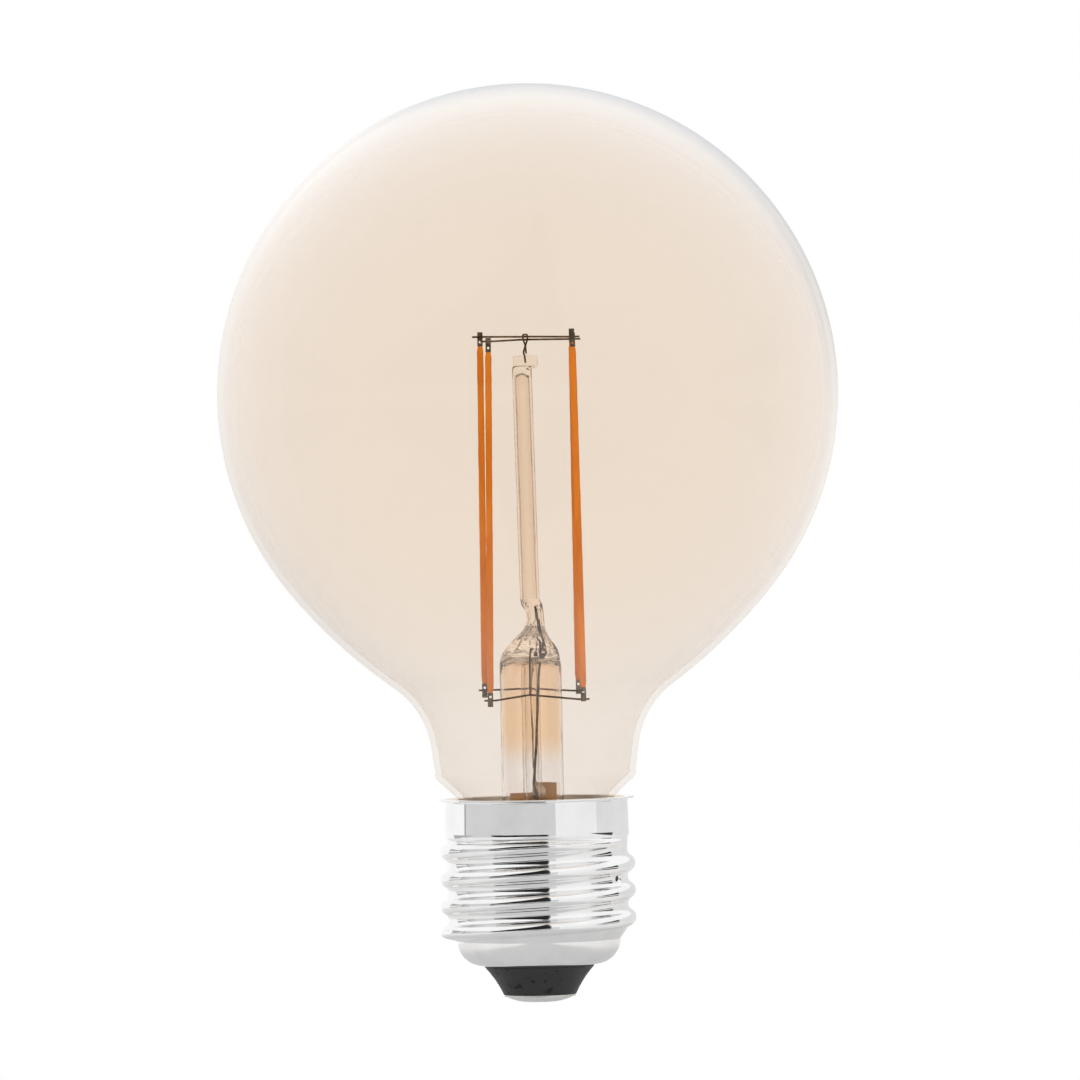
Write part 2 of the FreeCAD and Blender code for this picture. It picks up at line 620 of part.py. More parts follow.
def cap_shell():
    """The screw cap: lip, skirt, rolled thread, cup and stake dimple in thin sheet metal."""
    body = body_named("cap_sheet")
    body.setExpression("Placement.Rotation.Angle", "Sizes.thread_angle")
    turned(body, [
        ("0", "Sizes.rim_height"),
        None,
        ("Sizes.lip_radius", "Sizes.rim_height"),
        None,
        ("Sizes.lip_radius", "Sizes.rim_height - Sizes.cap_wall"),
        None,
        ("Sizes.skirt_radius + Sizes.lip_curl / 2", "Sizes.rim_height - Sizes.cap_wall"),
        None,
        ("Sizes.skirt_radius", "Sizes.rim_height - Sizes.lip_curl"),
        None,
        ("Worked.skirt_widest", "Worked.skirt_knee"),
        None,
        ("Sizes.thread_root", "Sizes.skirt_bottom"),
        None,
        ("Sizes.thread_root", "Sizes.thread_foot"),
        None,
        ("Sizes.cup_radius", "Sizes.cup_top"),
        None,
        ("Sizes.cup_radius", "Sizes.cap_bottom + Sizes.cup_curve"),
        ("Sizes.cup_curve", -1),
        ("Sizes.cup_radius - Sizes.cup_curve", "Sizes.cap_bottom"),
        None,
        ("0", "Sizes.cap_bottom"),
    ])
    ridge = [
        ("Sizes.thread_root - Worked.ridge_depth",
         "Sizes.thread_start - Worked.ridge_half_width - Worked.ridge_heel"),
        None,
        ("Sizes.thread_root", "Sizes.thread_start - Worked.ridge_half_width"),
        None,
        ("Worked.flank_height", "Sizes.thread_start - Worked.flank_half_width"),
        None,
        ("Sizes.thread_crest", "Sizes.thread_start - Sizes.crest_land"),
        None,
        ("Sizes.thread_crest", "Sizes.thread_start + Sizes.crest_land"),
        None,
        ("Worked.flank_height", "Sizes.thread_start + Worked.flank_half_width"),
        None,
        ("Sizes.thread_root", "Sizes.thread_start + Worked.ridge_half_width"),
        None,
        ("Sizes.thread_root - Worked.ridge_depth", "Sizes.thread_start + Worked.ridge_half_width"),
    ]
    helix(body, ridge, "Sizes.thread_turns", "0", False)
    helix(body, ridge, "Sizes.runout_turns", "-Sizes.runout_lean", True)
    # the crest fades under the skirt
    turned_away(body, [
        ("Sizes.thread_root", "Sizes.skirt_bottom"),
        None,
        ("Worked.skirt_widest", "Worked.skirt_knee"),
        None,
        ("Sizes.skirt_radius", "Sizes.rim_height - Sizes.lip_curl"),
        None,
        ("Sizes.lip_radius + Sizes.lip_curl", "Sizes.rim_height - Sizes.lip_curl"),
        None,
        ("Sizes.lip_radius + Sizes.lip_curl", "Worked.runout_edge"),
    ])
    # the inside, with the opening in the bottom
    turned_away(body, [
        ("0", "Sizes.rim_height"),
        None,
        ("Sizes.skirt_radius", "Sizes.rim_height"),
        None,
        ("Sizes.skirt_radius - Sizes.cap_wall", "Sizes.rim_height - Sizes.lip_curl"),
        None,
        ("Worked.skirt_widest - Sizes.cap_wall", "Worked.skirt_knee"),
        None,
        ("Worked.cap_bore", "Sizes.skirt_bottom"),
        None,
        ("Worked.cap_bore", "Sizes.thread_foot"),
        None,
        ("Worked.cup_bore", "Sizes.cup_top"),
        None,
        ("Worked.cup_bore", "Sizes.cap_bottom + Sizes.cup_curve"),
        None,
        ("Sizes.cup_radius - Sizes.cup_curve", "Worked.cap_floor"),
        None,
        ("Sizes.cap_opening", "Worked.cap_floor"),
        None,
        ("Sizes.cap_opening", "Sizes.cap_bottom"),
        None,
        ("0", "Sizes.cap_bottom"),
    ])
    # the dimple pushes the sheet inwards, so a bump stands inside where a hollow is outside
    way = turn_about_z(size("dimple_angle"))
    place = way * (size("thread_root") + size("dimple_ball") - size("dimple_depth"))
    place.z = size("dimple_height")
    bump_ball = ball("dimple_bump", "Sizes.dimple_ball + Sizes.cap_wall", place)
    core = rod("dimple_core", "Sizes.thread_root - Sizes.weld_gap", "Sizes.skirt_bottom", Placement())
    bump = combined("Part::MultiCommon", "dimple_bump_inside", [bump_ball, core])
    sheet = combined("Part::MultiFuse", "cap_with_bump", [body, bump])
    return cut_from("cap_shell", sheet, ball("dimple_ball", "Sizes.dimple_ball", place))


def cement_ring():
    """The cement that holds the neck in the cap."""
    body = body_named("cement_ring")
    turned(body, [
        ("Sizes.seal_radius + Sizes.fit_gap", "Sizes.cement_bottom"),
        None,
        ("Worked.cap_bore - Sizes.fit_gap", "Sizes.cement_bottom"),
        None,
        ("Worked.cap_bore - Sizes.fit_gap", "Sizes.skirt_bottom"),
        None,
        ("Worked.skirt_widest - Sizes.cap_wall - Sizes.fit_gap", "Worked.skirt_knee"),
        None,
        ("Sizes.skirt_radius - Sizes.cap_wall - Sizes.fit_gap", "Sizes.cement_top"),
        None,
        ("Worked.cement_mouth + Sizes.fit_gap", "Sizes.cement_top"),
        None,
        ("Sizes.seal_radius + Sizes.fit_gap", "Sizes.rim_height - Sizes.seal_round"),
    ])
    return body


def insulator():
    """The black glass between cap and contact, hollow below, hooked over the cap's bottom edge."""
    body = body_named("insulator")
    turned(body, [
        ("Sizes.contact_hole", "Sizes.insulator_face"),
        None,
        ("Sizes.insulator_foot", "Sizes.insulator_face"),
        ("Sizes.insulator_hollow", -1),
        ("Sizes.cap_opening - Sizes.fit_gap", "Sizes.cap_bottom - Sizes.insulator_step"),
        None,
        ("Sizes.cap_opening - Sizes.fit_gap", "Worked.cap_floor + Sizes.fit_gap"),
        None,
        ("Sizes.cup_radius - Sizes.cup_curve - Sizes.fit_gap", "Worked.cap_floor + Sizes.fit_gap"),
        None,
        ("Worked.cup_bore - Sizes.fit_gap", "Sizes.cap_bottom + Sizes.cup_curve + Sizes.fit_gap"),
        None,
        ("Worked.cup_bore - Sizes.fit_gap", "Sizes.insulator_top"),
        None,
        ("Sizes.insulator_boss", "Sizes.insulator_top"),
        None,
        ("Sizes.insulator_boss", "Sizes.insulator_top + Sizes.boss_rise"),
        None,
        ("Sizes.contact_hole", "Sizes.insulator_top + Sizes.boss_rise"),
    ])
    return body


def contact_plate():
    """The centre contact with its eyelet."""
    body = body_named("contact_plate")
    turned(body, [
        ("Sizes.eyelet_bore", "Worked.plate_face"),
        None,
        ("Sizes.contact_radius", "Worked.plate_face"),
        None,
        ("Sizes.contact_radius", "Sizes.insulator_face"),
        None,
        ("Sizes.eyelet_radius", "Sizes.insulator_face"),
        None,
        ("Sizes.eyelet_radius", "Sizes.insulator_face + Sizes.eyelet_length"),
        None,
        ("Sizes.eyelet_bore", "Sizes.insulator_face + Sizes.eyelet_length"),
    ])
    return body


def solder_dome():
    """The solder on the contact, with the plug that closes the eyelet."""
    body = body_named("solder_dome")
    turned(body, [
        ("0", "0"),
        None,
        ("Sizes.solder_flat", "0"),
        ("Worked.solder_curve", 1),
        ("Sizes.solder_radius", "Worked.plate_face"),
        None,
        ("Sizes.eyelet_bore - Sizes.fit_gap", "Worked.plate_face"),
        None,
        ("Sizes.eyelet_bore - Sizes.fit_gap", "Worked.plug_top"),
        None,
        ("0", "Worked.plug_top"),
    ])
    return body


# Stem: flared tube, closed and pinched at its top


def stem_outside():
    """The flared tube and its closed end, still solid."""
    tube = body_named("stem_tube")
    tube.setExpression("Placement.Base.x", "Sizes.stem_offset")
    turned(tube, [
        ("0", "Worked.flare_bottom"),
        None,
        ("Sizes.seal_radius", "Worked.flare_bottom"),
        None,
        ("Sizes.seal_radius", "Sizes.seal_height"),
        None,
        ("Worked.foot_centre", "Sizes.seal_height"),
        ("Sizes.flare_bend", -1),
        ("Sizes.stem_radius", "Worked.foot_rise"),
        None,
        ("Sizes.stem_radius", "Sizes.press_start"),
        None,
        ("0", "Sizes.press_start"),
    ])
    sections = []
    for number in range(len(PRESS)):
        section = doc.addObject("Part::Ellipse", f"press_section_{number}")
        section.Placement = Placement(Vector(), Rotation(Vector(0, 0, 1), 90))
        bind(section, MajorRadius=f"Press.half_depth_{number}", MinorRadius=f"Press.half_width_{number}",
             Placement__Base__x=f"Sizes.stem_offset + Press.shift_{number}",
             Placement__Base__z=f"Sizes.press_start + Press.rise_{number}")
        sections.append(section)
    doc.recompute()
    closed_end = doc.addObject("Part::Loft", "stem_closed_end")
    closed_end.Sections = sections
    closed_end.Solid = True
    closed_end.Ruled = False
    return combined("Part::MultiFuse", "stem_solid", [tube, closed_end])


def stem_bore():
    """The hollow of the stem, open at its flare and rounded under its roof."""
    bore = body_named("stem_bore")
    bore.setExpression("Placement.Base.x", "Sizes.stem_offset")
    turned(bore, [
        ("0", "Worked.flare_bottom"),
        None,
        ("Worked.foot_centre", "Worked.flare_bottom"),
        ("Sizes.flare_bend + Sizes.stem_wall", -1),
        ("Worked.stem_bore", "Worked.foot_rise"),
        None,
        ("Worked.stem_bore", "Worked.roof_height - Sizes.roof_drop"),
        ("Worked.roof_curve", 1),
        ("Sizes.roof_flat", "Worked.roof_height"),
        None,
        ("0", "Worked.roof_height"),
    ])
    return bore


def channel(label, points, radius, bend):
    """A hollow that a wire or the air takes through the glass, along the start of a route."""
    return wire_piece(label, points[:4], radius + size("channel_gap"), bend)


def stem():
    """The stem: tube, flare and pinched end, with the channels that its wires were pressed into."""
    passage = wire_piece("air_passage", air_route(), size("passage_radius"), size("wire_bend"))
    hollows = [stem_bore(), passage]
    for side in (FRONT, BACK):
        hollows.append(channel(f"inner_{NAMES[side]}_channel", inner_lead_route(side),
                               size("wire_radius"), size("wire_bend")))
        hollows.append(channel(f"outer_{NAMES[side]}_channel", outer_lead_route(side),
                               size("lead_radius"), size("lead_bend")))
    return cut_from("stem", stem_outside(), combined("Part::MultiFuse", "stem_hollows", hollows))


def exhaust_tube():
    """The thin glass tube inside the stem, with its melted tip."""
    body = body_named("exhaust_tube")
    body.setExpression("Placement.Base.x", "Sizes.stem_offset")
    turned(body, [
        ("Worked.exhaust_bore", "Worked.roof_height"),
        None,
        ("Sizes.exhaust_radius", "Worked.roof_height"),
        None,
        ("Sizes.exhaust_radius", "Sizes.exhaust_tip + Sizes.tip_length"),
        ("Worked.tip_curve", -1),
        ("Sizes.tip_flat", "Sizes.exhaust_tip"),
        None,
        ("0", "Sizes.exhaust_tip"),
        None,
        ("0", "Sizes.exhaust_tip + Sizes.tip_length - Worked.exhaust_bore"),
        None,
        ("Worked.exhaust_bore", "Sizes.exhaust_tip + Sizes.tip_length"),
    ])
    return body


def support_pillar():
    """The glass pillar on the stem, with its side port and its flattened head."""
    leaning = Placement(Vector(size("pillar_foot"), 0, worked_size("pinch_top") + size("fit_gap")),
                        Rotation(Vector(0, 1, 0), -size("pillar_lean")))
    body = body_named("pillar_glass")
    turned(body, [
        ("Worked.pillar_hollow", "0"),
        None,
        ("Sizes.pillar_radius", "0"),
        None,
        ("Sizes.pillar_radius", "Worked.pillar_length"),
        None,
        ("0", "Worked.pillar_length"),
        None,
        ("0", "Worked.pillar_length - Sizes.pillar_roof"),
        None,
        ("Worked.pillar_hollow", "Worked.pillar_length - Sizes.pillar_roof"),
    ])
    extruded(body, "XZ_Plane", rounded_rectangle(
        "Sizes.head_shift - Sizes.head_width / 2", "Worked.pillar_length - Sizes.head_round",
        "Sizes.head_shift + Sizes.head_width / 2", "Worked.pillar_length + Sizes.head_height",
        "Sizes.head_round"), "Sizes.head_depth", True)
    body.Placement = leaning
    sideways = Placement(Vector(0, 0, worked_size("pillar_length") - size("port_drop")),
                         Rotation(Vector(0, 1, 0), -90))
    port = rod("pillar_port", "Sizes.port_radius", "Sizes.pillar_radius * 2", leaning * sideways)
    seat = channel("hook_channel", hook_route(), size("hook_radius"), size("hook_bend"))
    return cut_from("support_pillar", body, combined("Part::MultiFuse", "pillar_hollows", [port, seat]))


# Filaments and the wires that join them


def filament_place(name):
    """Where a filament stands: its foot, and the way from foot to head."""
    side = BACK if name.endswith("back") else FRONT
    base = worked_size("cage_foot") + size(f"{name}_base")
    foot = Vector(size(f"{name}_foot"), side * size("foot_depth"), base)
    step = Vector(size(f"{name}_crown"), side * size("crown_depth"), foot.z) - foot
    step.z = math.sqrt(size("strip_length") ** 2 - step.Length ** 2)
    return Placement(foot, Rotation(Vector(0, 0, 1), step))


def filament_strip(name):
    """The coated strip, between its two tabs."""
    body = body_named(f"filament_{name}")
    extruded(body, "XY_Plane", rounded_rectangle(
        "-Sizes.strip_width / 2", "-Sizes.strip_depth / 2",
        "Sizes.strip_width / 2", "Sizes.strip_depth / 2", "Sizes.strip_round"),
        "Sizes.strip_length - 2 * Sizes.tab_length")
    body.Placement = filament_place(name) * Placement(Vector(0, 0, size("tab_length")), Rotation())
    return body


def filament_tab(name, end):
    """A metal end tab with the hole punched through it."""
    at_foot = end == "foot"
    label = f"filament_{name}_{end}_tab"
    sheet = doc.addObject("Part::Box", label + "_sheet")
    base = "0" if at_foot else "Sizes.strip_length - Sizes.tab_length"
    bind(sheet, Length="Sizes.tab_width", Width="Sizes.tab_sheet", Height="Sizes.tab_length",
         Placement__Base__x="-Sizes.tab_width / 2", Placement__Base__y="-Sizes.tab_sheet / 2",
         Placement__Base__z=base)
    place = size("tab_length") - size("tab_hole_place")
    if not at_foot:
        place = size("strip_length") - place
    across = Placement(Vector(0, size("tab_sheet"), place), Rotation(Vector(1, 0, 0), 90))
    hole = rod(label + "_hole", "Sizes.tab_hole", "Sizes.tab_sheet * 2", across)
    tab = cut_from(label, sheet, hole)
    tab.Placement = filament_place(name)
    return tab


def on_tab(name, height):
    """The middle line of a wire that lies on the inner face of a filament's tab."""
    place = filament_place(name)
    way = place.Rotation.multVec(Vector(0, 0, 1))
    middle = place.Base + way * ((height - place.Base.z) / way.z)
    inwards = FRONT if name.endswith("back") else BACK
    reach = size("tab_sheet") / 2 + size("wire_radius") + size("weld_gap")
    return middle + Vector(0, inwards * reach, 0)


def wire_height(level, side, place):
    """The height of a place on a top or bottom wire."""
    end = "cage_head" if level == "top" else "cage_foot"
    return worked_size(end) + size(f"{level}_{NAMES[side]}_{place}")


def cross_wire(level, side):
    """A wire from the left filament to the right one, bent towards the axis in between."""
    depth_name = NAMES[side]
    heights = [wire_height(level, side, place) for place in ("left", "middle", "right")]
    left = on_tab(f"left_{depth_name}", heights[0])
    right = on_tab(f"right_{depth_name}", heights[2])
    past = Vector(size(f"{level}_overhang") + size("tab_width") / 2, 0, 0)
    flat = Vector(size("tab_width"), 0, 0)
    if level == "top":
        half = Vector(size("hook_span"), 0, 0)
        middle = Vector(size("hook_place"), side * size("top_bow"), heights[1])
        between = [middle - half, middle + half]
    else:
        between = [Vector(size("weld_place"), side * size("bottom_bow"), heights[1])]
    points = [left - past, left + flat] + between + [right - flat, right + past]
    return wire_piece(f"{level}_{depth_name}_wire", points, size("wire_radius"), size("wire_bend"))


def hook_route():
    """The hook's line: out of the pillar's head, round both top wires and down across itself."""
    place = size("hook_place")
    half = size("hook_half_width")
    lean = size("hook_lean")
    belly = size("hook_belly")
    apart = size("hook_radius") + size("fit_gap")
    clear = size("wire_radius") + size("hook_radius") + size("fit_gap")
    beside = size("top_bow") + clear
    top = max(wire_height("top", side, "middle") for side in (FRONT, BACK)) + clear
    crossing = top - size("hook_loop")
    head_top = worked_size("pinch_top") + worked_size("pillar_length") + size("head_height")
    return [
        Vector(place, 0, head_top - size("hook_seat")),
        Vector(place - lean, 0, head_top),
        Vector(place - belly, -apart, (head_top + crossing - half) / 2),
        Vector(place, -apart, crossing),
        Vector(place + half, -beside, top - half * 2),
        Vector(place + half, -beside, top),
        Vector(place - half, beside, top),
        Vector(place - belly, beside, top - half * 2),
        Vector(place + lean / 2, apart, crossing),
        Vector(place + lean, apart, crossing - size("hook_tail")),
    ]


def hook_wire():
    """The wire hook that holds both top wires on the pillar."""
    return wire_piece("hook_wire", hook_route(), size("hook_radius"), size("hook_bend"))


# Leads


def inner_lead_route(side):
    """From inside the glass out through its side, and down to the bottom wire's middle."""
    start, out, down = [share * size("stem_radius") for share in INNER_LEADS[side]]
    beside = size("bottom_bow") - 2 * size("wire_radius") - size("weld_gap")
    weld = wire_height("bottom", side, "middle") - size("wire_radius")
    exit_height = size("press_start") + size("lead_exit")
    return [
        Vector(start, side * size("lead_seat"), exit_height),
        Vector(out, side * (size("stem_radius") - size("lead_inset")), exit_height + size("lead_rise")),
        Vector(down, side * beside, exit_height - size("lead_fall")),
        Vector(size("weld_place"), side * beside, weld),
    ]


def in_stem(across, deep, share):
    """A place in the stem, from shares of its radius and of its heights."""
    start = size("press_start")
    unit = worked_size("press_height") if share > 0 else start - size("tongue_right")
    return Vector(across * size("stem_radius"), deep * size("stem_radius"), start + share * unit)


def outer_lead_route(side):
    """From inside the pinch down through the stem to the driver board."""
    face = size("lead_radius") + size("fit_gap")
    points = [in_stem(*place) for place in OUTER_LEADS[side]]
    points[-1].y = worked_size("board_front") - face if side == FRONT else worked_size("board_back") + face
    return points


def air_route():
    """The air passage from the exhaust tube to the pillar's bore."""
    points = [in_stem(*place) for place in AIR_PASSAGE]
    points[0].z = worked_size("roof_height") - size("channel_gap")
    points[-1].z = worked_size("pinch_top") + size("channel_gap")
    return points


def inner_lead(side):
    """A lead from the pinch to a bottom wire."""
    return wire_piece(f"inner_lead_{NAMES[side]}", inner_lead_route(side),
                      size("wire_radius"), size("wire_bend"))


def outer_lead(side):
    """A lead from the pinch to the driver board."""
    return wire_piece(f"outer_lead_{NAMES[side]}", outer_lead_route(side),
                      size("lead_radius"), size("lead_bend"))


# Driver, inside cap and stem


def driver_board():
    """The circuit board: a wide part in the cap and a tongue up the stem."""
    body = body_named("driver_board")
    left = "Sizes.stem_offset - Sizes.tongue_width / 2"
    right = "Sizes.stem_offset + Sizes.tongue_width / 2"
    extruded(body, "XZ_Plane", [
        ("-Sizes.board_width / 2", "Sizes.board_bottom"),
        None,
        ("Sizes.board_width / 2", "Sizes.board_bottom"),
        None,
        ("Sizes.board_width / 2", "Sizes.board_top"),
        None,
        (right, "Sizes.board_top"),
        None,
        (right, "Sizes.tongue_right"),
        None,
        ("Sizes.tongue_notch", "Sizes.tongue_right"),
        None,
        ("Sizes.tongue_notch", "Sizes.tongue_left"),
        None,
        (left, "Sizes.tongue_left"),
        None,
        (left, "Sizes.board_top"),
        None,
        ("-Sizes.board_width / 2", "Sizes.board_top"),
    ], "Sizes.board_sheet", True)
    body.setExpression("Placement.Base.y", "Worked.board_front + Sizes.board_sheet / 2")
    return body


def barrel(label, x, radius, length, base, edge):
    """An upright round component in front of the board, with a bevelled rim at both ends."""
    body = body_named(label)
    turned(body, [
        ("0", "0"),
        None,
        (f"{radius} - {edge}", "0"),
        None,
        (radius, edge),
        None,
        (radius, f"{length} - {edge}"),
        None,
        (f"{radius} - {edge}", length),
        None,
        ("0", length),
    ])
    bind(body, Placement__Base__x=x, Placement__Base__y=f"Worked.board_front - {radius} - Sizes.fit_gap",
         Placement__Base__z=base)
    return body


def capacitor():
    """The smoothing capacitor's can, with the groove rolled in near its bottom."""
    body = barrel("capacitor", "Sizes.capacitor_place", "Sizes.capacitor_radius", "Sizes.capacitor_length",
                  "Worked.capacitor_base", "Sizes.can_edge")
    turned_away(body, [
        ("Sizes.capacitor_radius", "Sizes.can_groove - Sizes.can_edge"),
        None,
        ("Sizes.capacitor_radius - Sizes.can_edge", "Sizes.can_groove"),
        None,
        ("Sizes.capacitor_radius", "Sizes.can_groove + Sizes.can_edge"),
    ])
    return body


def component_lead(label, x, depth, start, end):
    """A component's leg: straight out of its end, then back to the board."""
    points = [Vector(x, depth, start), Vector(x, depth, end), Vector(x, worked_size("board_front"), end)]
    return wire_piece(label, points, size("component_wire"), size("wire_bend"))


def component_leads():
    """The legs of the capacitor and of the fusible resistor."""
    front = worked_size("board_front") - size("fit_gap")
    base = worked_size("capacitor_base")
    depth = front - size("capacitor_radius")
    leads = []
    for name, side in (("left", -1), ("right", 1)):
        x = size("capacitor_place") + side * size("can_pitch") / 2
        leads.append(component_lead(f"capacitor_lead_{name}", x, depth, base, base - size("leg_drop")))
    base = worked_size("resistor_base")
    top = base + size("resistor_length")
    depth = front - size("resistor_radius")
    place = size("resistor_place")
    leads.append(component_lead("resistor_lead_lower", place, depth, base, base - size("leg_drop")))
    leads.append(component_lead("resistor_lead_upper", place, depth, top, top + size("leg_drop")))
    return leads


def package(label, width, height, base):
    """A moulded package on the back of the board; its sides slope to a parting line."""
    body = body_named(label)
    half = f"{width} / 2"
    extruded(body, "XY_Plane", [
        (f"Sizes.package_draft - {half}", "Sizes.leg_sheet"),
        None,
        (f"{half} - Sizes.package_draft", "Sizes.leg_sheet"),
        None,
        (half, "Worked.parting_line"),
        None,
        (f"{half} - Sizes.package_draft", "Sizes.leg_sheet + Sizes.package_depth"),
        None,
        (f"Sizes.package_draft - {half}", "Sizes.leg_sheet + Sizes.package_depth"),
        None,
        (f"-{half}", "Worked.parting_line"),
    ], height)
    bind(body, Placement__Base__y="Worked.board_back", Placement__Base__z=base)
    return body


def package_legs(label, width, height, base, count, pitch):
    """The bent legs on both sides of a package, evenly spaced, as one group."""
    sheet, reach, line = size("leg_sheet"), size("leg_reach"), worked_size("parting_line")
    bend = reach / 2
    outline = [(0, line - sheet / 2), (bend, line - sheet / 2), (bend, 0), (reach, 0), (reach, sheet),
               (bend + sheet, sheet), (bend + sheet, line + sheet / 2), (0, line + sheet / 2)]
    legs = []
    for side in (-1, 1):
        for number in range(count):
            middle = height / 2 + (number - (count - 1) / 2) * pitch
            corners = [Vector(side * (width / 2 + x), y, middle - size("leg_width") / 2)
                       for x, y in outline]
            face = Part.Face(Part.makePolygon(corners + corners[:1]))
            legs.append(face.extrude(Vector(0, 0, size("leg_width"))))
    group = doc.addObject("Part::Feature", label)
    group.Shape = Part.Compound(legs)
    group.Placement = Placement(Vector(0, worked_size("board_back"), base), Rotation())
    group.Label = label
    return group


def chip_resistors():
    """The small resistors on the board's back, as one group."""
    length = size("chip_resistor_length")
    width = size("chip_resistor_width")
    sheet = size("chip_resistor_sheet")
    group = doc.addObject("Part::Feature", "chip_resistors")
    place = size("board_width") / 2 - length
    bodies = []
    for side in (-1, 1):
        for level in (3, 7):
            height = size("board_bottom") + level * (size("board_top") - size("board_bottom")) / 10
            corner = Vector(side * place - length / 2, worked_size("board_back"), height - width / 2)
            bodies.append(Part.makeBox(length, sheet, width, corner))
    group.Shape = Part.Compound(bodies)
    group.Placement = Placement()
    group.Label = "chip_resistors"
    return group


def live_wire():
    """From the board down the middle of the insulator to the solder in the eyelet."""
    start = Vector(size("live_place"), worked_size("board_front"), size("board_bottom") + size("leg_drop"))
    ahead = Vector(size("live_place"), 0, start.z)
    above = Vector(0, 0, size("insulator_top") + size("boss_rise"))
    end = Vector(0, 0, worked_size("plug_top"))
    return wire_piece("live_wire", [start, ahead, above, end], size("component_wire"), size("wire_bend"))


def neutral_wire():
    """From the board to the staked place on the cap's inside."""
    inside = (size("thread_root") - size("dimple_depth") - size("cap_wall")
              - size("component_wire") - size("fit_gap"))
    end = turn_about_z(size("dimple_angle")) * inside
    end.z = size("dimple_height")
    start = Vector(size("neutral_place"), worked_size("board_front"), size("neutral_height"))
    ahead = start - Vector(0, size("neutral_reach"), 0)
    beside = ahead + (end - ahead) * size("neutral_bend") - Vector(size("neutral_reach"), 0, 0)
    points = [start, ahead, beside, end]
    return wire_piece("neutral_wire", points, size("component_wire"), size("lead_bend"))


# The whole lamp


pieces = [
    glass_globe(), cap_shell(), cement_ring(), insulator(), contact_plate(), solder_dome(),
    stem(), exhaust_tube(), support_pillar(), hook_wire(),
    driver_board(), capacitor(), *component_leads(), chip_resistors(), live_wire(), neutral_wire(),
]
pieces.append(barrel("fusible_resistor", "Sizes.resistor_place", "Sizes.resistor_radius",
                     "Sizes.resistor_length", "Worked.resistor_base", "Sizes.resistor_edge"))
pieces.append(package("driver_chip", "Sizes.chip_width", "Sizes.chip_height", "Sizes.package_place"))
pieces.append(package_legs("driver_chip_legs", size("chip_width"), size("chip_height"),
                           size("package_place"), 3, size("leg_pitch")))
pieces.append(package("bridge_rectifier", "Sizes.rectifier_width", "Sizes.rectifier_height",
                      "Worked.rectifier_base"))
pieces.append(package_legs("bridge_rectifier_legs", size("rectifier_width"), size("rectifier_height"),
                           worked_size("rectifier_base"), 2, 2 * size("leg_pitch")))
for name in FILAMENTS:
    pieces += [filament_strip(name), filament_tab(name, "crown"), filament_tab(name, "foot")]
for side in (FRONT, BACK):
    pieces += [cross_wire("top", side), cross_wire("bottom", side), inner_lead(side), outer_lead(side)]
doc.recompute()

faults = [thing.Label for thing in doc.Objects if "Invalid" in thing.State or "Error" in thing.State]
faults += [piece.Label for piece in pieces if piece.Shape.isNull() or not piece.Shape.isValid()]
if faults:
    raise RuntimeError("failed: " + ", ".join(faults))

os.makedirs("parts", exist_ok=True)
for piece in pieces:
    piece.Shape.exportStep(os.path.join("parts", piece.Label + ".step"))
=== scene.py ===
"""Clear globe lamp with amber filaments and a screw cap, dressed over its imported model."""

import logging
import math
from dataclasses import dataclass, field
from enum import Enum
from functools import cache
from typing import Callable, Iterable, Sequence

import bmesh
import bpy
from mathutils import Matrix, Vector, noise


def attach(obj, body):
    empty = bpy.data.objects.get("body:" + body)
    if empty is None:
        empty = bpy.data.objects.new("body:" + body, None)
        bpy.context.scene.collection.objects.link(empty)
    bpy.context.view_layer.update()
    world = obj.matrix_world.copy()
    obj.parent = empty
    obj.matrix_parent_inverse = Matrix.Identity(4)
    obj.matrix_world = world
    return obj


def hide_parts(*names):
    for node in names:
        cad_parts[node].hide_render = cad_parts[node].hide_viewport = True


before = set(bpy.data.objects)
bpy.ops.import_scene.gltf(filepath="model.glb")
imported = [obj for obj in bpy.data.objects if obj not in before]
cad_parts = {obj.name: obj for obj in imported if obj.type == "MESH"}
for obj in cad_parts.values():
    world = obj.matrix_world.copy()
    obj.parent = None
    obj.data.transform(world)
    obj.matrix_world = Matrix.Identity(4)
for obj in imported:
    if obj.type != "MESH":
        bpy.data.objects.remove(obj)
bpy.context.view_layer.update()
MM = 0.001
WHITE = (1.0, 1.0, 1.0)
SHARP = math.radians(32.0)
log = logging.getLogger("globe_lamp")

Pair = tuple[float, float]
Triple = tuple[float, float, float]
Colour = Triple
Outline = list[Pair]
Mesh = bmesh.types.BMesh
Node = bpy.types.Node
Socket = bpy.types.NodeSocket


# Node trees


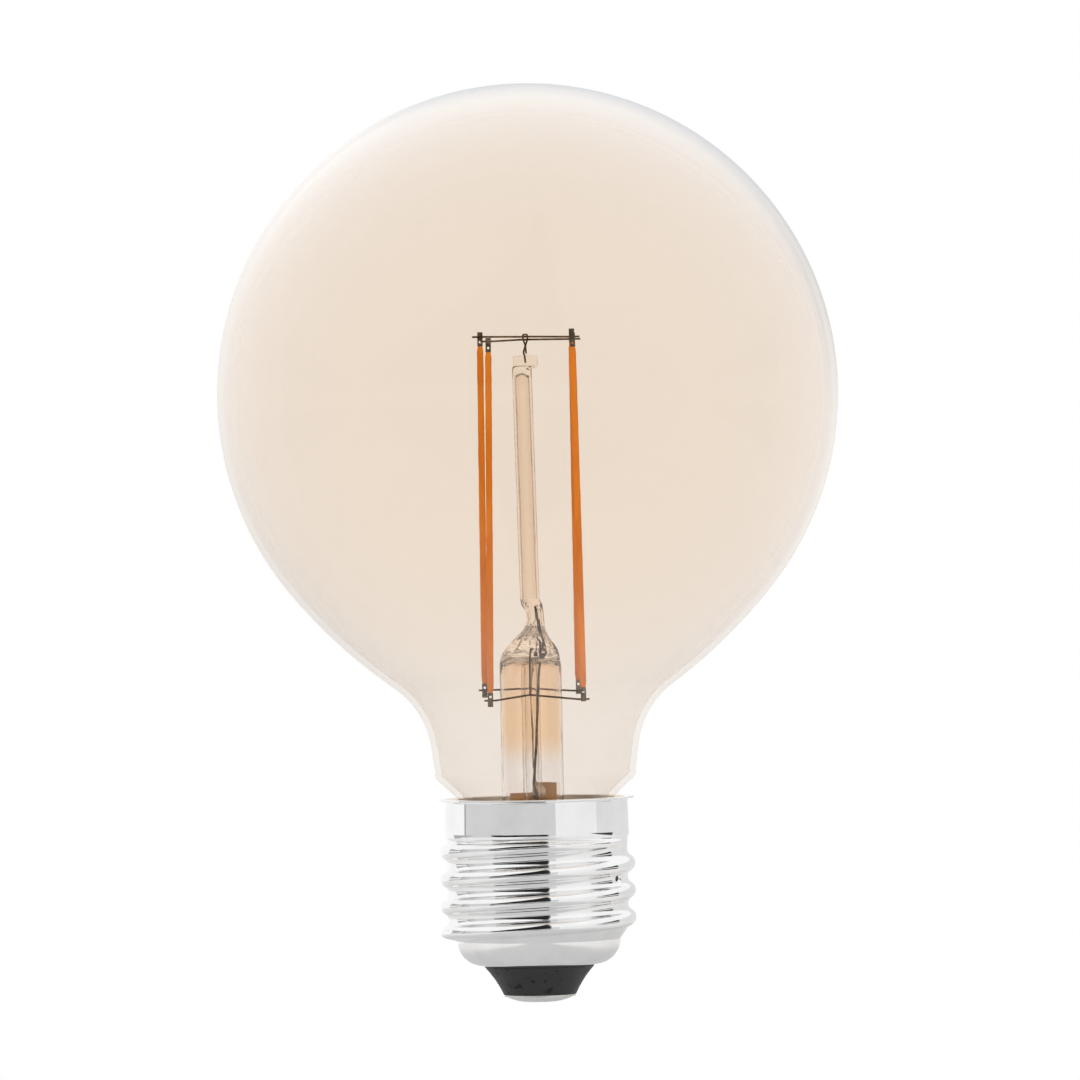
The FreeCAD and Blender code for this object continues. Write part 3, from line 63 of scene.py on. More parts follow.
class Value:
    """A socket of a node tree that can be used in arithmetic."""

    def __init__(self, tree: "Tree", socket: Socket) -> None:
        """Wrap an output socket that carries one number."""
        self.tree = tree
        self.socket = socket

    def _join(self, operation: str, *operands: "Value | float") -> "Value":
        """Add a Math node on the given operands."""
        node = self.tree.add("ShaderNodeMath", {"operation": operation}, dict(enumerate(operands)))
        return Value(self.tree, node.outputs[0])

    def __add__(self, other: "Value | float") -> "Value":
        """Sum."""
        return self._join("ADD", self, other)

    __radd__ = __add__

    def __sub__(self, other: "Value | float") -> "Value":
        """Difference."""
        return self._join("SUBTRACT", self, other)

    def __rsub__(self, other: float) -> "Value":
        """Difference from a number."""
        return self._join("SUBTRACT", other, self)

    def __mul__(self, other: "Value | float") -> "Value":
        """Product."""
        return self._join("MULTIPLY", self, other)

    __rmul__ = __mul__

    def __pow__(self, other: "Value | float") -> "Value":
        """Power."""
        return self._join("POWER", self, other)

    def clipped(self) -> "Value":
        """The value held between 0 and 1."""
        return self._join("MINIMUM", self._join("MAXIMUM", self, 0.0), 1.0)

    def step(self, low: float, high: float) -> "Value":
        """A smooth rise from 0 at low to 1 at high."""
        node = self.tree.add("ShaderNodeMapRange", {"interpolation_type": "SMOOTHSTEP"},
                             {"Value": self, "From Min": low, "From Max": high})
        return Value(self.tree, node.outputs[0])


class Tree:
    """Builds one node tree."""

    def __init__(self, tree: bpy.types.NodeTree) -> None:
        """Empty the node tree that is to be filled."""
        self.tree = tree
        self.tree.nodes.clear()

    def add(self, kind: str, settings: dict | None = None,
            inputs: dict | None = None) -> Node:
        """Add a node of any kind.

        Args:
            kind: The node's type name.
            settings: Its own settings, such as a Math node's operation.
            inputs: Values or links for its sockets, by name or number.

        Returns:
            The new node.
        """
        node = self.tree.nodes.new(kind)
        for name, setting in (settings or {}).items():
            setattr(node, name, setting)
        for name, value in (inputs or {}).items():
            socket = node.inputs[name]
            if isinstance(value, Value):
                value = value.socket
            if isinstance(value, Socket):
                self.tree.links.new(value, socket)
            elif socket.type == "RGBA":
                socket.default_value = (*value, 1.0)
            else:
                socket.default_value = value
        return node

    def value(self, kind: str, output: str | int = 0, settings: dict | None = None,
              inputs: dict | None = None) -> Value:
        """Add a node, as add does, and take one of its outputs as a number."""
        return Value(self, self.add(kind, settings, inputs).outputs[output])

    def mixed(self, factor: Value, first: object, second: object) -> Socket:
        """A colour between two others, by a factor."""
        node = self.add("ShaderNodeMix", {"data_type": "RGBA"},
                        {"Factor": factor, 6: first, 7: second})
        return node.outputs[2]

    def blend(self, factor: Value, first: Node, second: Node) -> Node:
        """A shader between two others, by a factor."""
        return self.add("ShaderNodeMixShader", None,
                        {0: factor, 1: first.outputs[0], 2: second.outputs[0]})

    def film(self, colour: Colour) -> Node:
        """A skin that only tints what is behind it."""
        return self.add("ShaderNodeBsdfTransparent", None, {"Color": colour})

    def place(self) -> Socket:
        """The point in the object's own coordinates."""
        return self.add("ShaderNodeTexCoord").outputs["Object"]

    def height(self) -> Value:
        """The point's height in metres."""
        node = self.add("ShaderNodeSeparateXYZ", None, {0: self.place()})
        return Value(self, node.outputs["Z"])

    def grain(self, scale: float, detail: float = 2.0,
              stretch: Triple = (1.0, 1.0, 1.0)) -> Value:
        """Noise about 0.5, its scale in waves per metre, finer by stretch along X, Y and Z."""
        mapping = self.add("ShaderNodeMapping", None, {"Vector": self.place(), "Scale": stretch})
        return self.value("ShaderNodeTexNoise", "Fac", None,
                          {"Vector": mapping.outputs[0], "Scale": scale, "Detail": detail})

    def bumped(self, height: Value, depth: float) -> Socket:
        """A normal bumped by a height, with the depth in metres."""
        return self.add("ShaderNodeBump", None,
                        {"Height": height, "Distance": depth, "Strength": 1.0}).outputs[0]

    def straight(self) -> Value:
        """0 for rays that carry plain light through glass, 1 for those that show it."""
        path = self.add("ShaderNodeLightPath")
        return 1.0 - (Value(self, path.outputs["Is Shadow Ray"])
                      + Value(self, path.outputs["Is Diffuse Ray"])).clipped()

    def finish(self, shader: Node) -> None:
        """Send a shader to the material's surface."""
        output = self.add("ShaderNodeOutputMaterial")
        self.tree.links.new(shader.outputs[0], output.inputs["Surface"])


def material_tree(name: str) -> tuple[bpy.types.Material, Tree]:
    """A new material and its empty tree."""
    material = bpy.data.materials.new(name)
    material.use_nodes = True
    return material, Tree(material.node_tree)


# Finishes


@dataclass(frozen=True)
class BlownGlass:
    """Thin clear glass with an amber film, hazy where it is seen at a slant, with a grey reflection
    painted along its rim at the upper right; heights in metres.
    """

    name: str = "blown_glass"
    tint: Colour = (0.957, 0.921, 0.882)
    neck_tint: Colour = (0.96, 0.937, 0.912)
    tint_rise: Pair = (0.032, 0.06)
    haze: Colour = (0.86, 0.862, 0.868)
    most: float = 0.6
    power: float = 2.4
    neck_haze: float = 0.35
    neck_rise: Pair = (0.034, 0.052)
    crown_haze: float = 0.6
    crown_rise: Pair = (0.088, 0.116)
    # The rim colour and the three fields after it paint a grey reflection along the globe's edge at
    # the upper right.
    rim: Colour = (0.62, 0.65, 0.68)
    painted_reflection_slant: Pair = (0.7, 0.95)
    painted_reflection_rise: Pair = (0.098, 0.12)
    painted_reflection_lean: float = 0.6
    gloss: float = 0.006

    def build(self) -> bpy.types.Material:
        """The globe's glass: each skin tints what is behind it and veils it at a slant, and a grey
        reflection is painted on the rim at the upper right.
        """
        material, tree = material_tree(self.name)
        slant = tree.value("ShaderNodeLayerWeight", "Facing", None, {"Blend": 0.5})
        place = tree.add("ShaderNodeSeparateXYZ", None, {0: tree.place()})
        across, up = Value(tree, place.outputs["X"]), Value(tree, place.outputs["Z"])
        film = tree.blend(up.step(*self.tint_rise), tree.film(self.neck_tint), tree.film(self.tint))
        soft = tree.add("ShaderNodeBsdfDiffuse", None, {"Color": self.haze})
        # The grey diffuse and its mask below paint a reflection along the rim's upper right, near
        # the edge, towards the top and right.
        painted_grey_reflection = tree.add("ShaderNodeBsdfDiffuse", None, {"Color": self.rim})
        sharp = tree.add("ShaderNodeBsdfAnisotropic", None, {"Color": WHITE, "Roughness": 0.0})
        painted_reflection_crescent = slant.step(*self.painted_reflection_slant) * (across * self.painted_reflection_lean + up).step(*self.painted_reflection_rise)
        straight = tree.straight()
        share = (up.step(*self.neck_rise) * (1.0 - self.neck_haze) + self.neck_haze
                 + up.step(*self.crown_rise) * self.crown_haze)
        hazed = tree.blend((slant ** self.power) * self.most * share * straight, film,
                           tree.blend(painted_reflection_crescent, soft, painted_grey_reflection))
        tree.finish(tree.blend(straight * self.gloss, hazed, sharp))
        return material


@dataclass(frozen=True)
class StemGlass:
    """Pressed glass with drawn-out streaks, amber above a height; heights in metres."""

    name: str
    amber: Colour
    clear: Colour
    amber_rise: Pair = (0.031, 0.036)
    bending: float = 1.48
    streak: float = 0.00002
    streak_grain: float = 2000.0
    crease: float = 0.0
    crease_grain: float = 780.0
    press_start: Pair = (0.0452, 0.0466)
    press_end: Pair = (0.0492, 0.0505)
    drawn_rise: Pair = (0.0482, 0.0495)
    collar_rise: Pair = (0.0522, 0.0528)

    def build(self) -> bpy.types.Material:
        """Glass for the stem, exhaust tube or pillar."""
        material, tree = material_tree(self.name)
        height = tree.height()
        pressed = (height.step(*self.press_start) * (1.0 - height.step(*self.press_end))
                   + height.step(*self.collar_rise))
        drawn = height.step(*self.drawn_rise) * self.crease + self.streak
        streaks = tree.grain(self.streak_grain, 1.5, (1.0, 1.0, 0.1)) * drawn
        creases = tree.grain(self.crease_grain, 3.0, (0.4, 0.4, 1.8)) * pressed * self.crease
        glass = tree.add("ShaderNodeBsdfPrincipled", None, {
            "Base Color": tree.mixed(height.step(*self.amber_rise), self.clear, self.amber),
            "Roughness": 0.0, "IOR": self.bending, "Transmission Weight": 1.0,
            "Normal": tree.bumped(streaks + creases, 1.0)})
        tree.finish(tree.blend(tree.straight(), tree.film(self.amber), glass))
        return material


@dataclass(frozen=True)
class BrightMetal:
    """Plated sheet metal with faint drawing lines and smudges."""

    name: str
    colour: Colour
    roughness: float
    smudge: float = 0.06
    depth: float = 0.0000015
    dulled: float = 0.93

    def build(self) -> bpy.types.Material:
        """Metal for the cap and its contact."""
        material, tree = material_tree(self.name)
        smudges = tree.grain(260.0, 3.0)
        lines = tree.grain(2500.0, 2.0, (0.25, 0.25, 3.0))
        tree.finish(tree.add("ShaderNodeBsdfPrincipled", None, {
            "Base Color": tree.mixed(smudges.step(0.3, 0.8), self.colour,
                                     tuple(part * self.dulled for part in self.colour)),
            "Metallic": 1.0, "Roughness": smudges * self.smudge + self.roughness,
            "Normal": tree.bumped(lines, self.depth)}))
        return material


@dataclass(frozen=True)
class Wire:
    """Drawn wire, darkened in patches by heat."""

    name: str
    bright: Colour
    dark: Colour
    roughness: float = 0.4
    depth: float = 0.000004

    def build(self) -> bpy.types.Material:
        """Metal for a wire or a leg."""
        material, tree = material_tree(self.name)
        patches = tree.grain(700.0, 3.0)
        tree.finish(tree.add("ShaderNodeBsdfPrincipled", None, {
            "Base Color": tree.mixed(patches.step(0.35, 0.65), self.dark, self.bright),
            "Metallic": 1.0, "Roughness": patches * 0.25 + self.roughness,
            "Normal": tree.bumped(tree.grain(6000.0), self.depth)}))
        return material


@dataclass(frozen=True)
class Coating:
    """Soft amber silicone with phosphor, a little uneven, glossy in parts, with a faint painted
    glow.
    """

    name: str = "phosphor_coating"
    colour: Colour = (0.6, 0.185, 0.012)
    deep: Colour = (0.5, 0.135, 0.008)
    # Strength of the coat's painted glow, an emission of its own colour.
    painted_glow: float = 0.1
    depth: float = 0.00002

    def build(self) -> bpy.types.Material:
        """The filament strips' coat, glowing faintly in its own colour as painted light."""
        material, tree = material_tree(self.name)
        cloud = tree.grain(450.0, 3.0, (1.0, 1.0, 0.3))
        colour = tree.mixed(cloud.step(0.3, 0.75), self.colour, self.deep)
        tree.finish(tree.add("ShaderNodeBsdfPrincipled", None, {
            "Base Color": colour, "Roughness": cloud * 0.3 + 0.3, "Specular IOR Level": 0.2,
            "Emission Color": colour, "Emission Strength": self.painted_glow,
            "Normal": tree.bumped(tree.grain(2500.0), self.depth)}))
        return material


@dataclass(frozen=True)
class Moulding:
    """Moulded, fired or hardened stuff with specks and a slight unevenness."""

    name: str
    colour: Colour
    speck: Colour
    roughness: float
    coat: float = 0.0
    scale: float = 1500.0
    depth: float = 0.00001
    rarity: float = 0.62
    shine: float = 0.5
    blur: float = 0.12

    def build(self) -> bpy.types.Material:
        """A plain solid finish."""
        material, tree = material_tree(self.name)
        specks = tree.grain(self.scale, 3.0)
        tree.finish(tree.add("ShaderNodeBsdfPrincipled", None, {
            "Base Color": tree.mixed(specks.step(self.rarity, self.rarity + self.blur),
                                     self.colour, self.speck),
            "Roughness": specks * 0.2 + self.roughness, "Coat Weight": self.coat,
            "Specular IOR Level": self.shine,
            "Normal": tree.bumped(tree.grain(self.scale * 0.4, 2.0), self.depth)}))
        return material


class Finish(Enum):
    """The lamp's finishes, one for each of its materials."""

    ENVELOPE = BlownGlass()
    STEM = StemGlass("drawn_glass", (1.0, 0.87, 0.735), (1.0, 0.985, 0.985), crease=0.0004)
    TUBE = StemGlass("tube_glass", (0.97, 0.94, 0.90), (0.98, 0.98, 0.98))
    PILLAR = StemGlass("pillar_glass", (0.97, 0.90, 0.82), (0.97, 0.90, 0.82))
    CAP = BrightMetal("nickel_plate", (0.93, 0.93, 0.93), 0.04)
    CONTACT = BrightMetal("tinned_contact", (0.8, 0.78, 0.74), 0.2, smudge=0.2)
    SOLDER = BrightMetal("grainy_solder", (0.93, 0.93, 0.92), 0.22, smudge=0.3, depth=0.00022)
    COATING = Coating()
    TAB = Wire("tab_sheet", (0.42, 0.36, 0.29), (0.22, 0.17, 0.12), 0.35)
    NICKEL = Wire("dark_wire", (0.26, 0.165, 0.09), (0.11, 0.066, 0.035))
    LEAD = Wire("copper_wire", (0.22, 0.17, 0.12), (0.06, 0.05, 0.045))
    BLACK_GLASS = Moulding("fired_black_glass", (0.026, 0.026, 0.027), (0.002, 0.002, 0.002), 0.35,
                           scale=1100.0, depth=0.00005, rarity=0.58, shine=0.3)
    CEMENT = Moulding("hard_cement", (0.55, 0.5, 0.42), (0.3, 0.26, 0.2), 0.75,
                      scale=900.0, depth=0.00006)
    BEAD = Moulding("pale_cement", (0.86, 0.81, 0.74), (0.7, 0.64, 0.55), 0.7,
                    scale=900.0, depth=0.00003)
    BOARD = Moulding("rosin_board", (0.37, 0.225, 0.07), (0.17, 0.09, 0.02), 0.35, 0.3,
                     scale=1400.0, depth=0.00002)
    RESIN = Moulding("pale_resin", (0.62, 0.6, 0.56), (0.8, 0.78, 0.74), 0.3, 0.4,
                     scale=1200.0, depth=0.00003)
    BLACK_PACKAGE = Moulding("black_package", (0.02, 0.02, 0.021), (0.04, 0.04, 0.04), 0.5)
    CAN = Moulding("can_sleeve", (0.045, 0.05, 0.07), (0.03, 0.03, 0.05), 0.3, 0.3)
    GREEN_COAT = Moulding("green_coat", (0.06, 0.2, 0.1), (0.04, 0.14, 0.07), 0.35, 0.3)

    @cache
    def material(self) -> bpy.types.Material:
        """The finish's material, built once."""
        return self.value.build()


# Meshes


def arc(centre: Pair, radius: float, start: float, end: float, count: int) -> Outline:
    """Points along an arc, angles in degrees, both ends included."""
    angles = (math.radians(start + (end - start) * i / count) for i in range(count + 1))
    return [(centre[0] + radius * math.cos(angle), centre[1] + radius * math.sin(angle))
            for angle in angles]


def run(start: Pair, end: Pair, count: int) -> Outline:
    """Points along a straight line, its start left out."""
    return [(start[0] + (end[0] - start[0]) * i / count, start[1] + (end[1] - start[1]) * i / count)
            for i in range(1, count + 1)]


def smooth_step(value: float, low: float, high: float) -> float:
    """A smooth rise from 0 at low to 1 at high."""
    share = min(max((value - low) / (high - low), 0.0), 1.0)
    return share * share * (3.0 - 2.0 * share)


def turned(outline: Outline, segments: int, closed: bool = True) -> Mesh:
    """A full turn of an outline of radii and heights.

    Args:
        outline: Points in millimetres, each a radius and a height.
        segments: Faces round the turn.
        closed: Whether the last point joins the first.

    Returns:
        A mesh in millimetres with its doubles merged.
    """
    mesh = bmesh.new()
    points = [mesh.verts.new((radius, 0.0, height)) for radius, height in outline]
    pairs = list(zip(points, points[1:])) + ([(points[-1], points[0])] if closed else [])
    edges = [mesh.edges.new(pair) for pair in pairs]
    bmesh.ops.spin(mesh, geom=points + edges, cent=(0, 0, 0), axis=(0, 0, 1), dvec=(0, 0, 0),
                   angle=math.tau, steps=segments, use_merge=True, use_duplicate=False)
    bmesh.ops.remove_doubles(mesh, verts=mesh.verts, dist=1e-5)
    loose = [edge for edge in mesh.edges if not edge.link_faces]
    bmesh.ops.delete(mesh, geom=loose, context="EDGES")
    bmesh.ops.recalc_face_normals(mesh, faces=mesh.faces)
    return mesh


def moved(mesh: Mesh, rule: Callable[[Vector], Vector]) -> Mesh:
    """Move each vertex by a rule from old place to new place."""
    for vertex in mesh.verts:
        vertex.co = rule(vertex.co)
    return mesh


def joined(first: Mesh, second: Mesh) -> Mesh:
    """Join two skins at the ring that they share.

    Args:
        first: The mesh that takes in the other.
        second: The mesh that is freed.

    Returns:
        One closed shell with its faces outwards.
    """
    data = bpy.data.meshes.new("skin")
    second.to_mesh(data)
    second.free()
    first.from_mesh(data)
    bpy.data.meshes.remove(data)
    bmesh.ops.remove_doubles(first, verts=first.verts, dist=1e-4)
    bmesh.ops.recalc_face_normals(first, faces=first.faces)
    return first


def finished(name: str, mesh: Mesh, finish: Finish,
             replaces: Sequence[str] = ()) -> bpy.types.Object:
    """Make a piece of the lamp from a mesh in millimetres.

    Args:
        name: The piece's name.
        mesh: Its mesh, freed here.
        finish: What it is made of.
        replaces: The nodes that it stands for.

    Returns:
        The piece, riding on the lamp's body.
    """
    bmesh.ops.scale(mesh, vec=(MM, MM, MM), verts=mesh.verts)
    data = bpy.data.meshes.new(name)
    for face in mesh.faces:
        face.smooth = True
    for edge in mesh.edges:
        edge.smooth = len(edge.link_faces) != 2 or edge.calc_face_angle(0.0) < SHARP
    mesh.to_mesh(data)
    mesh.free()
    piece = bpy.data.objects.new(name, data)
    bpy.context.scene.collection.objects.link(piece)
    data.materials.append(finish.material())
    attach(piece, "root")
    if replaces:
        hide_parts(*replaces)
    log.info("%s: %d faces", name, len(data.polygons))
    return piece


def dressed(nodes: Iterable[str], finish: Finish) -> None:
    """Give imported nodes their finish."""
    for name in nodes:
        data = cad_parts[name].data
        data.materials.clear()
        data.materials.append(finish.material())
        for polygon in data.polygons:
            polygon.material_index = 0
        log.info("%s: %s", name, finish.value.name)


# Sub-assemblies


@dataclass
class Envelope:
    """The blown globe with its neck."""

    globe_radius: float = 41.5
    globe_centre: float = 81.22
    flank_radius: float = 71.0
    flank_start: float = 39.0
    flank_end: float = 54.2
    neck_curve: float = 11.6
    neck_taper: float = 8.0
    shoulder: Outline = field(default_factory=lambda: [
        (13.41, 30.9), (13.44, 30.5), (13.36, 30.15), (13.16, 29.8), (12.9, 29.55), (12.61, 29.35)])
    mouth: Pair = (10.5, 27.3)
    mouth_step: float = 1.5
    seal_radius: float = 10.0
    seal_height: float = 18.5
    wall: float = 0.8
    segments: int = 192

    def wall_line(self) -> Outline:
        """The section's outer line from the top to the seal."""
        start, end = math.radians(self.flank_start), math.radians(self.flank_end)
        shift = (self.flank_radius - self.globe_radius) * math.cos(start)
        rise = (self.flank_radius - self.globe_radius) * math.sin(start)
        flank_centre = (-shift, self.globe_centre + rise)
        reach = self.flank_radius + self.neck_curve
        neck_centre = (flank_centre[0] + reach * math.cos(end),
                       flank_centre[1] - reach * math.sin(end))
        line = arc((0.0, self.globe_centre), self.globe_radius, 90.0, -self.flank_start, 84)
        line += arc(flank_centre, self.flank_radius, -self.flank_start, -self.flank_end, 12)[1:]
        line += arc(neck_centre, self.neck_curve, 180.0 - self.flank_end,
                    180.0 - self.neck_taper, 24)[1:]
        line += run(line[-1], self.shoulder[0], 4) + self.shoulder[1:]
        line += run(line[-1], self.mouth, 4)
        line += run(line[-1], (self.seal_radius, self.mouth[1] - self.mouth_step), 3)
        line += run(line[-1], (self.seal_radius, self.seal_height), 3)
        return line

    def thickened(self, line: Outline) -> Outline:
        """The inner line, a wall's thickness inside the outer one, from the seal to the top."""
        inner = []
        for before, here, after in zip([line[0]] + line, line, line[1:] + [line[-1]]):
            along = Vector((after[0] - before[0], after[1] - before[1])).normalized()
            inner.append((max(here[0] + along.y * self.wall, 0.0), here[1] - along.x * self.wall))
        inner[0] = (0.0, line[0][1] - self.wall)
        inner[-1] = (line[-1][0] - self.wall, line[-1][1])
        return inner[::-1]

    def build(self) -> None:
        """Turn the envelope with its one even wall."""
        line = self.wall_line()
        finished("globe_envelope", turned(line + self.thickened(line), self.segments),
                 Finish.ENVELOPE, ["glass_globe"])


@dataclass
class Stem:
    """The flared stem with its pinched end, the exhaust tube and the pillar."""

    offset: float = -0.4
    radius: float = 4.15
    wall: float = 0.36
    seal: float = 18.5
    rim: float = 10.0
    bend: float = 4.5
    press_start: float = 44.6
    roof: float = 46.2
    roof_drop: float = 1.5
    roof_flat: float = 1.6
    sections: tuple[tuple[float, float, float, float], ...] = (
        (44.6, -0.4, 4.15, 4.15), (45.7, -0.4, 4.0, 4.1), (46.4, -0.37, 3.8, 4.0),
        (47.0, -0.32, 3.5, 3.8), (47.6, -0.26, 3.1, 3.5), (48.2, -0.18, 2.6, 3.1),
        (48.8, -0.05, 2.1, 2.7), (49.4, 0.12, 1.65, 2.3), (50.0, 0.3, 1.35, 1.95),
        (50.8, 0.42, 1.18, 1.65), (52.0, 0.38, 1.15, 1.5),
        (52.5, 0.2, 1.28, 1.45), (53.0, -0.02, 1.42, 1.42), (53.8, -0.28, 1.31, 1.31))
    exhaust: Pair = (1.25, 0.8)
    tip: float = 12.0
    tip_length: float = 2.4
    tip_flat: float = 0.3
    pillar: Pair = (1.31, 0.86)
    pillar_foot: Pair = (-0.28, 53.84)
    pillar_lean: float = 0.82
    pillar_length: float = 31.0
    pillar_bore: float = 30.2
    head: tuple[float, float, float, float] = (1.645, 0.8, 1.5, 0.5)
    head_blend: Pair = (0.3, 0.45)
    head_square: float = 0.35
    head_lump: Pair = (0.1, 0.12)
    wrinkle: float = 0.12
    wrinkle_height: float = 47.6
    wrinkle_span: float = 2.6
    drawn: Pair = (0.9, 0.45)
    segments: int = 96
    tube_segments: int = 48

    def section_at(self, height: float) -> tuple[float, float, float]:
        """Centre, half width and half depth of the closed end at a height."""
        for low, high in zip(self.sections, self.sections[1:]):
            if height <= high[0]:
                share = (height - low[0]) / (high[0] - low[0])
                return tuple(a + (b - a) * share for a, b in zip(low[1:], high[1:]))
        return self.sections[-1][1:]

    def wrinkled(self, place: Vector) -> float:
        """How far the glass stands out at a place, in millimetres, from being pressed hot."""
        near = math.exp(-((place.z - self.wrinkle_height) / self.wrinkle_span) ** 2)
        across, along = self.drawn
        drawn = Vector((place.x * across, place.y * across, place.z * along))
        return self.wrinkle * near * (noise.noise(drawn * 0.9) * 2.0 + noise.noise(drawn * 2.3))

    def shaped(self, place: Vector) -> Vector:
        """The stem's outside: round below, pressed and drawn out above."""
        if place.z < self.press_start:
            return Vector((place.x + self.offset, place.y, place.z))
        around = Vector((place.x, place.y, 0.0))
        if around.length < 1e-6:
            centre = self.section_at(place.z)[0]
            return Vector((centre, 0.0, place.z))
        around.normalize()
        share = Vector((place.x, place.y, 0.0)).length / self.radius
        centre, half_width, half_depth = self.section_at(place.z)
        bump = 1.0 + self.wrinkled(place) / max(half_width, 1.0)
        return Vector((centre + around.x * half_width * share * bump,
                       around.y * half_depth * share * bump, place.z))

    def build_stem(self) -> None:
        """Turn the stem's outside and its hollow, and press its upper end."""
        foot = self.radius + self.bend
        outside = [(foot, self.seal - self.wall), (self.rim, self.seal - self.wall),
                   (self.rim, self.seal)]
        outside += arc((foot, self.seal + self.bend), self.bend, 270.0, 180.0, 14)
        outside += run(outside[-1], (self.radius, self.press_start), 14)
        outside += run(outside[-1], (self.radius, self.sections[-1][0]), 56)
        outside.append((0.0, self.sections[-1][0]))
        shell = moved(turned(outside, self.segments, closed=False), self.shaped)
        inner = self.radius - self.wall
        curve = ((inner - self.roof_flat) ** 2 + self.roof_drop ** 2) / (2.0 * self.roof_drop)
        hollow = arc((foot, self.seal + self.bend), self.bend + self.wall, 270.0, 180.0, 14)
        hollow += run(hollow[-1], (inner, self.roof - self.roof_drop), 14)
        end = math.degrees(math.atan2(curve - self.roof_drop, inner - self.roof_flat))
        hollow += arc((self.roof_flat, self.roof - curve), curve, end, 90.0, 8)
        hollow.append((0.0, self.roof))
        bore = moved(turned(hollow, self.segments, closed=False),
                     lambda place: place + Vector((self.offset, 0.0, 0.0)))
        finished("stem_shell", joined(shell, bore), Finish.STEM, ["stem"])

    def build_exhaust(self) -> None:
        """Turn the exhaust tube with its melted tip."""
        outer, inner = self.exhaust
        closing = outer - self.tip_flat
        curve = (closing ** 2 + self.tip_length ** 2) / (2.0 * closing)
        sweep = math.degrees(math.asin(self.tip_length / curve))
        outline = [(inner, self.roof), (outer, self.roof)]
        outline += run((outer, self.roof), (outer, self.tip + self.tip_length), 12)
        outline += arc((outer - curve, self.tip + self.tip_length), curve, 0.0, -sweep, 8)[1:]
        outline += [(0.0, self.tip), (0.0, self.tip + self.tip_length - inner),
                    (inner, self.tip + self.tip_length)]
        outline += run((inner, self.tip + self.tip_length), (inner, self.roof), 12)[:-1]
        mesh = moved(turned(outline, self.tube_segments),
                     lambda place: place + Vector((self.offset, 0.0, 0.0)))
        finished("exhaust_glass", mesh, Finish.TUBE, ["exhaust_tube"])

    def headed(self, place: Vector) -> Vector:
        """The pillar's outside: round below, squeezed flat and to one side at its head."""
        half_width, half_depth, _, shift = self.head
        below, blend = self.head_blend
        rise = min((place.z - self.pillar_length + below) / blend, 1.0)
        if rise <= 0.0:
            return place.copy()
        share = min(math.hypot(place.x, place.y) / self.pillar[0], 1.0)
        angle = math.atan2(place.y, place.x)

        def squared(part: float) -> float:
            """A sine or cosine pushed out towards a square."""
            return math.copysign(abs(part) ** self.head_square, part)

        lump = noise.noise(Vector((place.x * 1.3, place.y * 1.3, place.z * 1.8))) * rise
        flat = Vector((squared(math.cos(angle)) * half_width * share + shift,
                       squared(math.sin(angle)) * half_depth * share, place.z))
        flat += Vector((self.head_lump[0], 0.0, self.head_lump[1])) * lump
        return place.lerp(flat, smooth_step(rise, 0.0, 1.0))

    def build_pillar(self) -> None:
        """Turn the pillar, squeeze its head and lean it."""
        outer, inner = self.pillar
        top = self.pillar_length + self.head[2]
        start = self.pillar_length - self.head_blend[0]
        outline = [(inner, 0.0), (outer, 0.0)]
        outline += run((outer, 0.0), (outer, start), 12)
        outline += run((outer, start), (outer, top), 20)
        outline += [(outer * 0.92, top + 0.06), (outer * 0.5, top + 0.02), (0.0, top),
                    (0.0, self.pillar_bore)]
        outline += arc((0.0, self.pillar_bore - inner), inner, 90.0, 0.0, 6)[1:]
        mesh = moved(turned(outline, self.tube_segments), self.headed)
        foot = Vector((self.pillar_foot[0], 0.0, self.pillar_foot[1]))
        lean = Matrix.Rotation(math.radians(-self.pillar_lean), 4, "Y")
        bmesh.ops.transform(mesh, matrix=Matrix.Translation(foot) @ lean, verts=mesh.verts)
        finished("pillar_glass", mesh, Finish.PILLAR, ["support_pillar"])

    def build(self) -> None:
        """Build all three glass pieces."""
        self.build_stem()
        self.build_exhaust()
        self.build_pillar()


